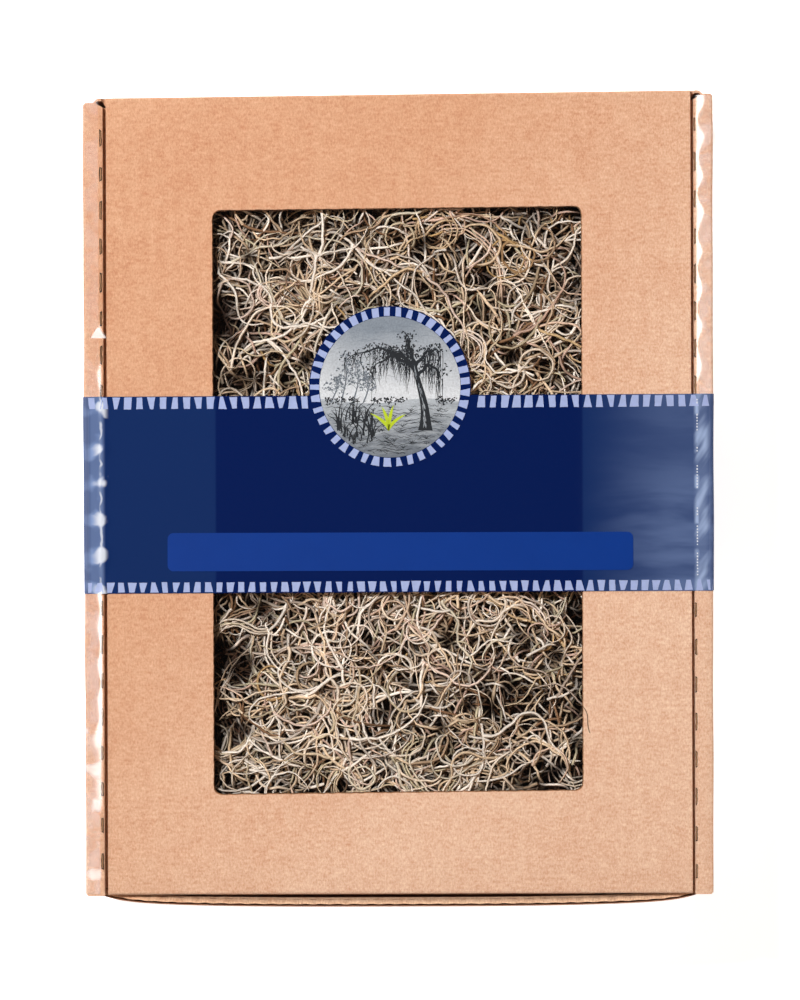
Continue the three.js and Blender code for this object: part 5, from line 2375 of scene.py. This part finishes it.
    def outer_strands(self) -> Strands:
        """Looser strands over the hidden sides, ends and foot of the bunch.

        Returns:
            The strands.
        """
        s, r, n, p = self.sizes, self.random, self.side_strands, 16
        low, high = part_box("moss_bunch")
        length = r.uniform(*self.side_lengths, n) * MM
        share = np.linspace(0, 1, p)[None]
        steady, wavy = r.normal(0, 30, (n, 1)), r.uniform(10, 50, (n, 1))
        bend = steady + wavy * self.rolling(share * length[:, None], 18, 44)
        u, v, _ = self.walked(np.zeros((n, 2)), r.uniform(0, TURN, n), length, bend)
        u, v = u - u.mean(1, keepdims=True), v - v.mean(1, keepdims=True)
        off = (1.2 + 3.0 * np.sin(math.pi * share) * r.uniform(0.2, 1, (n, 1))) * MM
        face = r.choice(6, n, p=self.face_shares)[:, None]
        half_x, half_y = (high.x - low.x) / 2 - 5 * MM, (high.y - low.y) / 2 - 5 * MM
        foot, top = low.z + 6 * MM, s.lid_under - 8 * MM
        flat_x = np.clip(r.uniform(-half_x, half_x, (n, 1)) + u, -half_x, half_x)
        flat_y = np.clip(r.uniform(-half_y, half_y, (n, 1)) + v, -half_y, half_y)
        high_z = np.clip(r.uniform(foot, top, (n, 1)) + v, foot, top)
        high_u = np.clip(r.uniform(foot, top, (n, 1)) + u, foot, top)
        middle_y, side, proud = (high.y + low.y) / 2, np.where(face % 2, -1, 1), off - 2 * MM
        x = np.where(face < 2, side * (half_x + proud), flat_x)
        y = middle_y + np.where((face == 2) | (face == 3), side * (half_y + proud), flat_y)
        z = np.select([face < 2, face < 4, face == 4], [high_u, high_z, top - 4 * MM + off], foot - off)
        half = self.leaf_half * r.uniform(0.8, 1.2, (n, 1)) * (1 - 0.5 * share ** 2)
        return Strands(np.stack([x, y, z], 2), half, self.tints(n))

    def core(self) -> Piece:
        """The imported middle: a cushion with a matted, lumpy face under the strands.

        Returns:
            The cushion.
        """
        low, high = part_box("moss_bunch")
        half_x, half_y = (high.x - low.x) / 2 - 6 * MM, (high.y - low.y) / 2 - 6 * MM
        middle_y = (high.y + low.y) / 2
        sphere = bmesh.new()
        bmesh.ops.create_cube(sphere, size=2.0)
        bmesh.ops.subdivide_edges(sphere, edges=sphere.edges[:], cuts=36, use_grid_fill=True)
        mesh = bpy.data.meshes.new("packed_core")
        sphere.to_mesh(mesh)
        sphere.free()
        places = np.array([v.co for v in mesh.vertices])
        x, y, z = places.T
        slim = 1 - 0.05 * np.abs(z) ** 4
        px, py = x * half_x * slim, middle_y + y * half_y * slim
        roof = self.roof(px, py) - self.core_depth
        top = roof + (1.6 * MM * waves(px * 1.7 + py, (17, 9, 6), 40)
                      + 1.4 * MM * waves(py * 1.3 - px, (14, 8, 5), 41))
        foot = low.z + 0.5 * MM
        pz = foot + (z + 1) / 2 * (top - foot)
        piece = linked("moss_packed_core", mesh)
        mesh.vertices.foreach_set("co", np.stack([px, py, pz], 1).ravel())
        # The core is painted near-black as the shade in the bunch's depth.
        mesh.materials.append(PackedFibre().material())
        mesh.polygons.foreach_set("use_smooth", [True] * len(mesh.polygons))
        mesh.update()
        return piece

    def painted_depth_shade(self, places: Array) -> Array:
        """Painted depth shade: how deep points lie under the bunch's face, from 0 at the face to nearly 1 in
        its dark depth.

        Args:
            places: the points of some strands.

        Returns:
            The depth at each point.
        """
        x, y, z = (places[:, :, axis] for axis in range(3))
        under = (self.roof(x, y, pitted=False) - z - self.lit_depth) / (self.dark_depth - self.lit_depth)
        return 0.97 * (1 - (1 - np.clip(under, 0, 1)) ** 2.2)

    def rods(self, name: str, strands: Strands, sides: int) -> None:
        """Turns strands into rods, in as many pieces as the size of one allows.

        Args:
            name: the pieces' name, before their number.
            strands: the strands.
            sides: the number of sides of a rod.
        """
        count, points = strands.places.shape[:2]
        each = (points - 1) * sides * 2 + 2 * (sides - 2)
        share = max(1, self.piece_limit // each)
        for number, first in enumerate(range(0, count, share)):
            part = strands.part(np.arange(first, min(first + share, count)))
            label = f"{name}_{number + 1}"
            piece = grown(label, part.mesh(label, self.painted_depth_shade(part.places)), self.tree, {
                "Strand sides": sides, "Kink size": self.kink_size, "Kink spacing": self.kink_spacing,
                "Seed": self.seed + number, "Finish": self.finish})
            dressed(piece, "dried_moss", "moss_bunch")

    def stray(self) -> Piece:
        """One loose hair of moss that lies on the board beside the window, under the film.

        Returns:
            The hair.
        """
        s = self.sizes
        share = np.linspace(0, 1, 18)
        x = s.window_x + s.window_width / 2 - 1.0 * MM + (4.6 * share + 0.9 * np.sin(5 * share)) * MM
        y = s.window_y - self.stray_place - (11 * share ** 1.2) * MM
        z = s.high.z - 0.05 * MM + 0.1 * MM * np.sin(math.pi * share)
        line = Strands(np.stack([x, y, z], 1)[None], np.full((1, 18), 0.16 * MM),
                       np.array([linear("#5b4636")[:3]]))
        return grown("stray_hair", line.mesh("stray_hair"), self.tree, {
            "Strand sides": 5, "Kink size": 0.3 * MM, "Kink spacing": 3 * MM, "Seed": 3,
            "Finish": self.finish})

    def build(self) -> None:
        """Builds and dresses the whole bunch."""
        stems, angle = self.stems()
        leaves = self.leaves(stems, angle)
        shown_leaves = leaves.part(self.seen(leaves))
        log.info("moss: %d stems, %d leaves, %d of them in view", len(stems.places), len(leaves.places),
                 len(shown_leaves.places))
        self.rods("moss_stems", stems.part(self.seen(stems)), 5)
        self.rods("moss_leaves", shown_leaves, 4)
        self.rods("moss_locks", self.combed(shown_leaves), 4)
        for layer in Depth:
            strands = self.loose(layer)
            self.rods(f"moss_{layer.name.lower()}", strands.part(self.seen(strands)), layer.value[2])
        self.rods("moss_outer_strands", self.outer_strands(), 3)
        dressed(self.core(), "dried_moss", "moss_bunch")
        dressed(self.stray(), "dried_moss")


# ---------------------------------------------------------------- studio


class Lights(Enum):
    """What a lamp shows in: matt surfaces and mirror images."""

    MATT = (True, False)
    GLOSS = (False, True)


@dataclass(frozen=True)
class SoftBox:
    """A soft box that faces the pack."""

    name: str
    place: tuple[float, float, float]
    size: tuple[float, float]
    watts: float
    lights: Lights
    colour: str = "#ffffff"

    def build(self) -> None:
        """Puts it in the scene."""
        data = bpy.data.lights.new(self.name, "AREA")
        data.shape, data.size, data.size_y, data.energy = "RECTANGLE", *self.size, self.watts
        data.color = linear(self.colour)[:3]
        lamp = linked(self.name, data)
        lamp.location = self.place
        lamp.rotation_euler = (AIM - Vector(self.place)).to_track_quat("-Z", "Y").to_euler()
        lamp.visible_diffuse, lamp.visible_glossy = self.lights.value


AIM = Vector((0, 0, 0.05))
SOFT_BOXES = (
    SoftBox("key_left", (-0.85, 0.85, 2.0), (0.16, 0.16), 50.0, Lights.MATT),
    SoftBox("fill_right", (1.5, -0.6, 1.9), (1.2, 1.2), 7.5, Lights.MATT, "#ffd8b8"),
    SoftBox("fill_above", (0.0, 0.0, 2.4), (0.9, 0.9), 3.0, Lights.MATT, "#ffc89a"),
    SoftBox("strip_left", (-1.2, 0.0, 1.55), (1.6, 0.7), 56.0, Lights.GLOSS),
)


@dataclass
class Studio:
    """White paper floor, soft boxes either side of the camera, and a camera straight above."""

    sizes: BoxSizes
    lens: float = 150.0
    sensor: float = 36.0
    span: float = 0.3815
    roll_degrees: float = 0.18
    off_x: float = 0.3 * MM
    off_y: float = 0.05 * MM
    floor_half: float = 9.0
    floor_drop: float = 0.2 * MM

    def camera(self) -> None:
        """Puts a long lens over the lid, turned as little as the box lies askew."""
        data = bpy.data.cameras.new("over_lid")
        data.lens, data.sensor_width, data.sensor_fit = self.lens, self.sensor, "AUTO"
        data.clip_start, data.clip_end = 0.05, 20.0
        camera = linked("over_lid", data)
        distance = self.span * self.lens / self.sensor
        camera.location = (self.off_x, self.off_y, self.sizes.high.z + distance)
        camera.rotation_euler = (0.0, 0.0, -math.radians(self.roll_degrees))
        bpy.context.scene.camera = camera

    def build(self) -> None:
        """Sets the floor, the lamps, the world and the camera."""
        half, low = self.floor_half, -self.floor_drop
        corners = [(-half, -half, low), (half, -half, low), (half, half, low), (-half, half, low)]
        floor = new_piece("paper_floor", corners, [[0, 1, 2, 3]], [StudioPaper().material()], smooth=False)
        for soft_box in SOFT_BOXES:
            soft_box.build()
        world = bpy.data.worlds.new("soft_room")
        world.use_nodes = True
        background = world.node_tree.nodes["Background"].inputs
        background[0].default_value, background[1].default_value = linear("#f6f6f6"), 0.025
        bpy.context.scene.world = world
        bpy.context.scene.view_settings.view_transform = "Standard"
        self.camera()


def main() -> None:
    """Builds every part of the pack in order."""
    logging.basicConfig(level=logging.INFO, format="%(message)s")
    sizes = measured_box()
    dashes = DashRows(dash_tree())
    Mailer(sizes, dashes).build()
    MossBunch(sizes).build()
    wrap = Wrap(sizes)
    FilmSleeve(wrap).build()
    PrintedBand(wrap, dashes).build()
    Sticker(wrap).build()
    Studio(sizes).build()


if __name__ == "__main__":
    main()
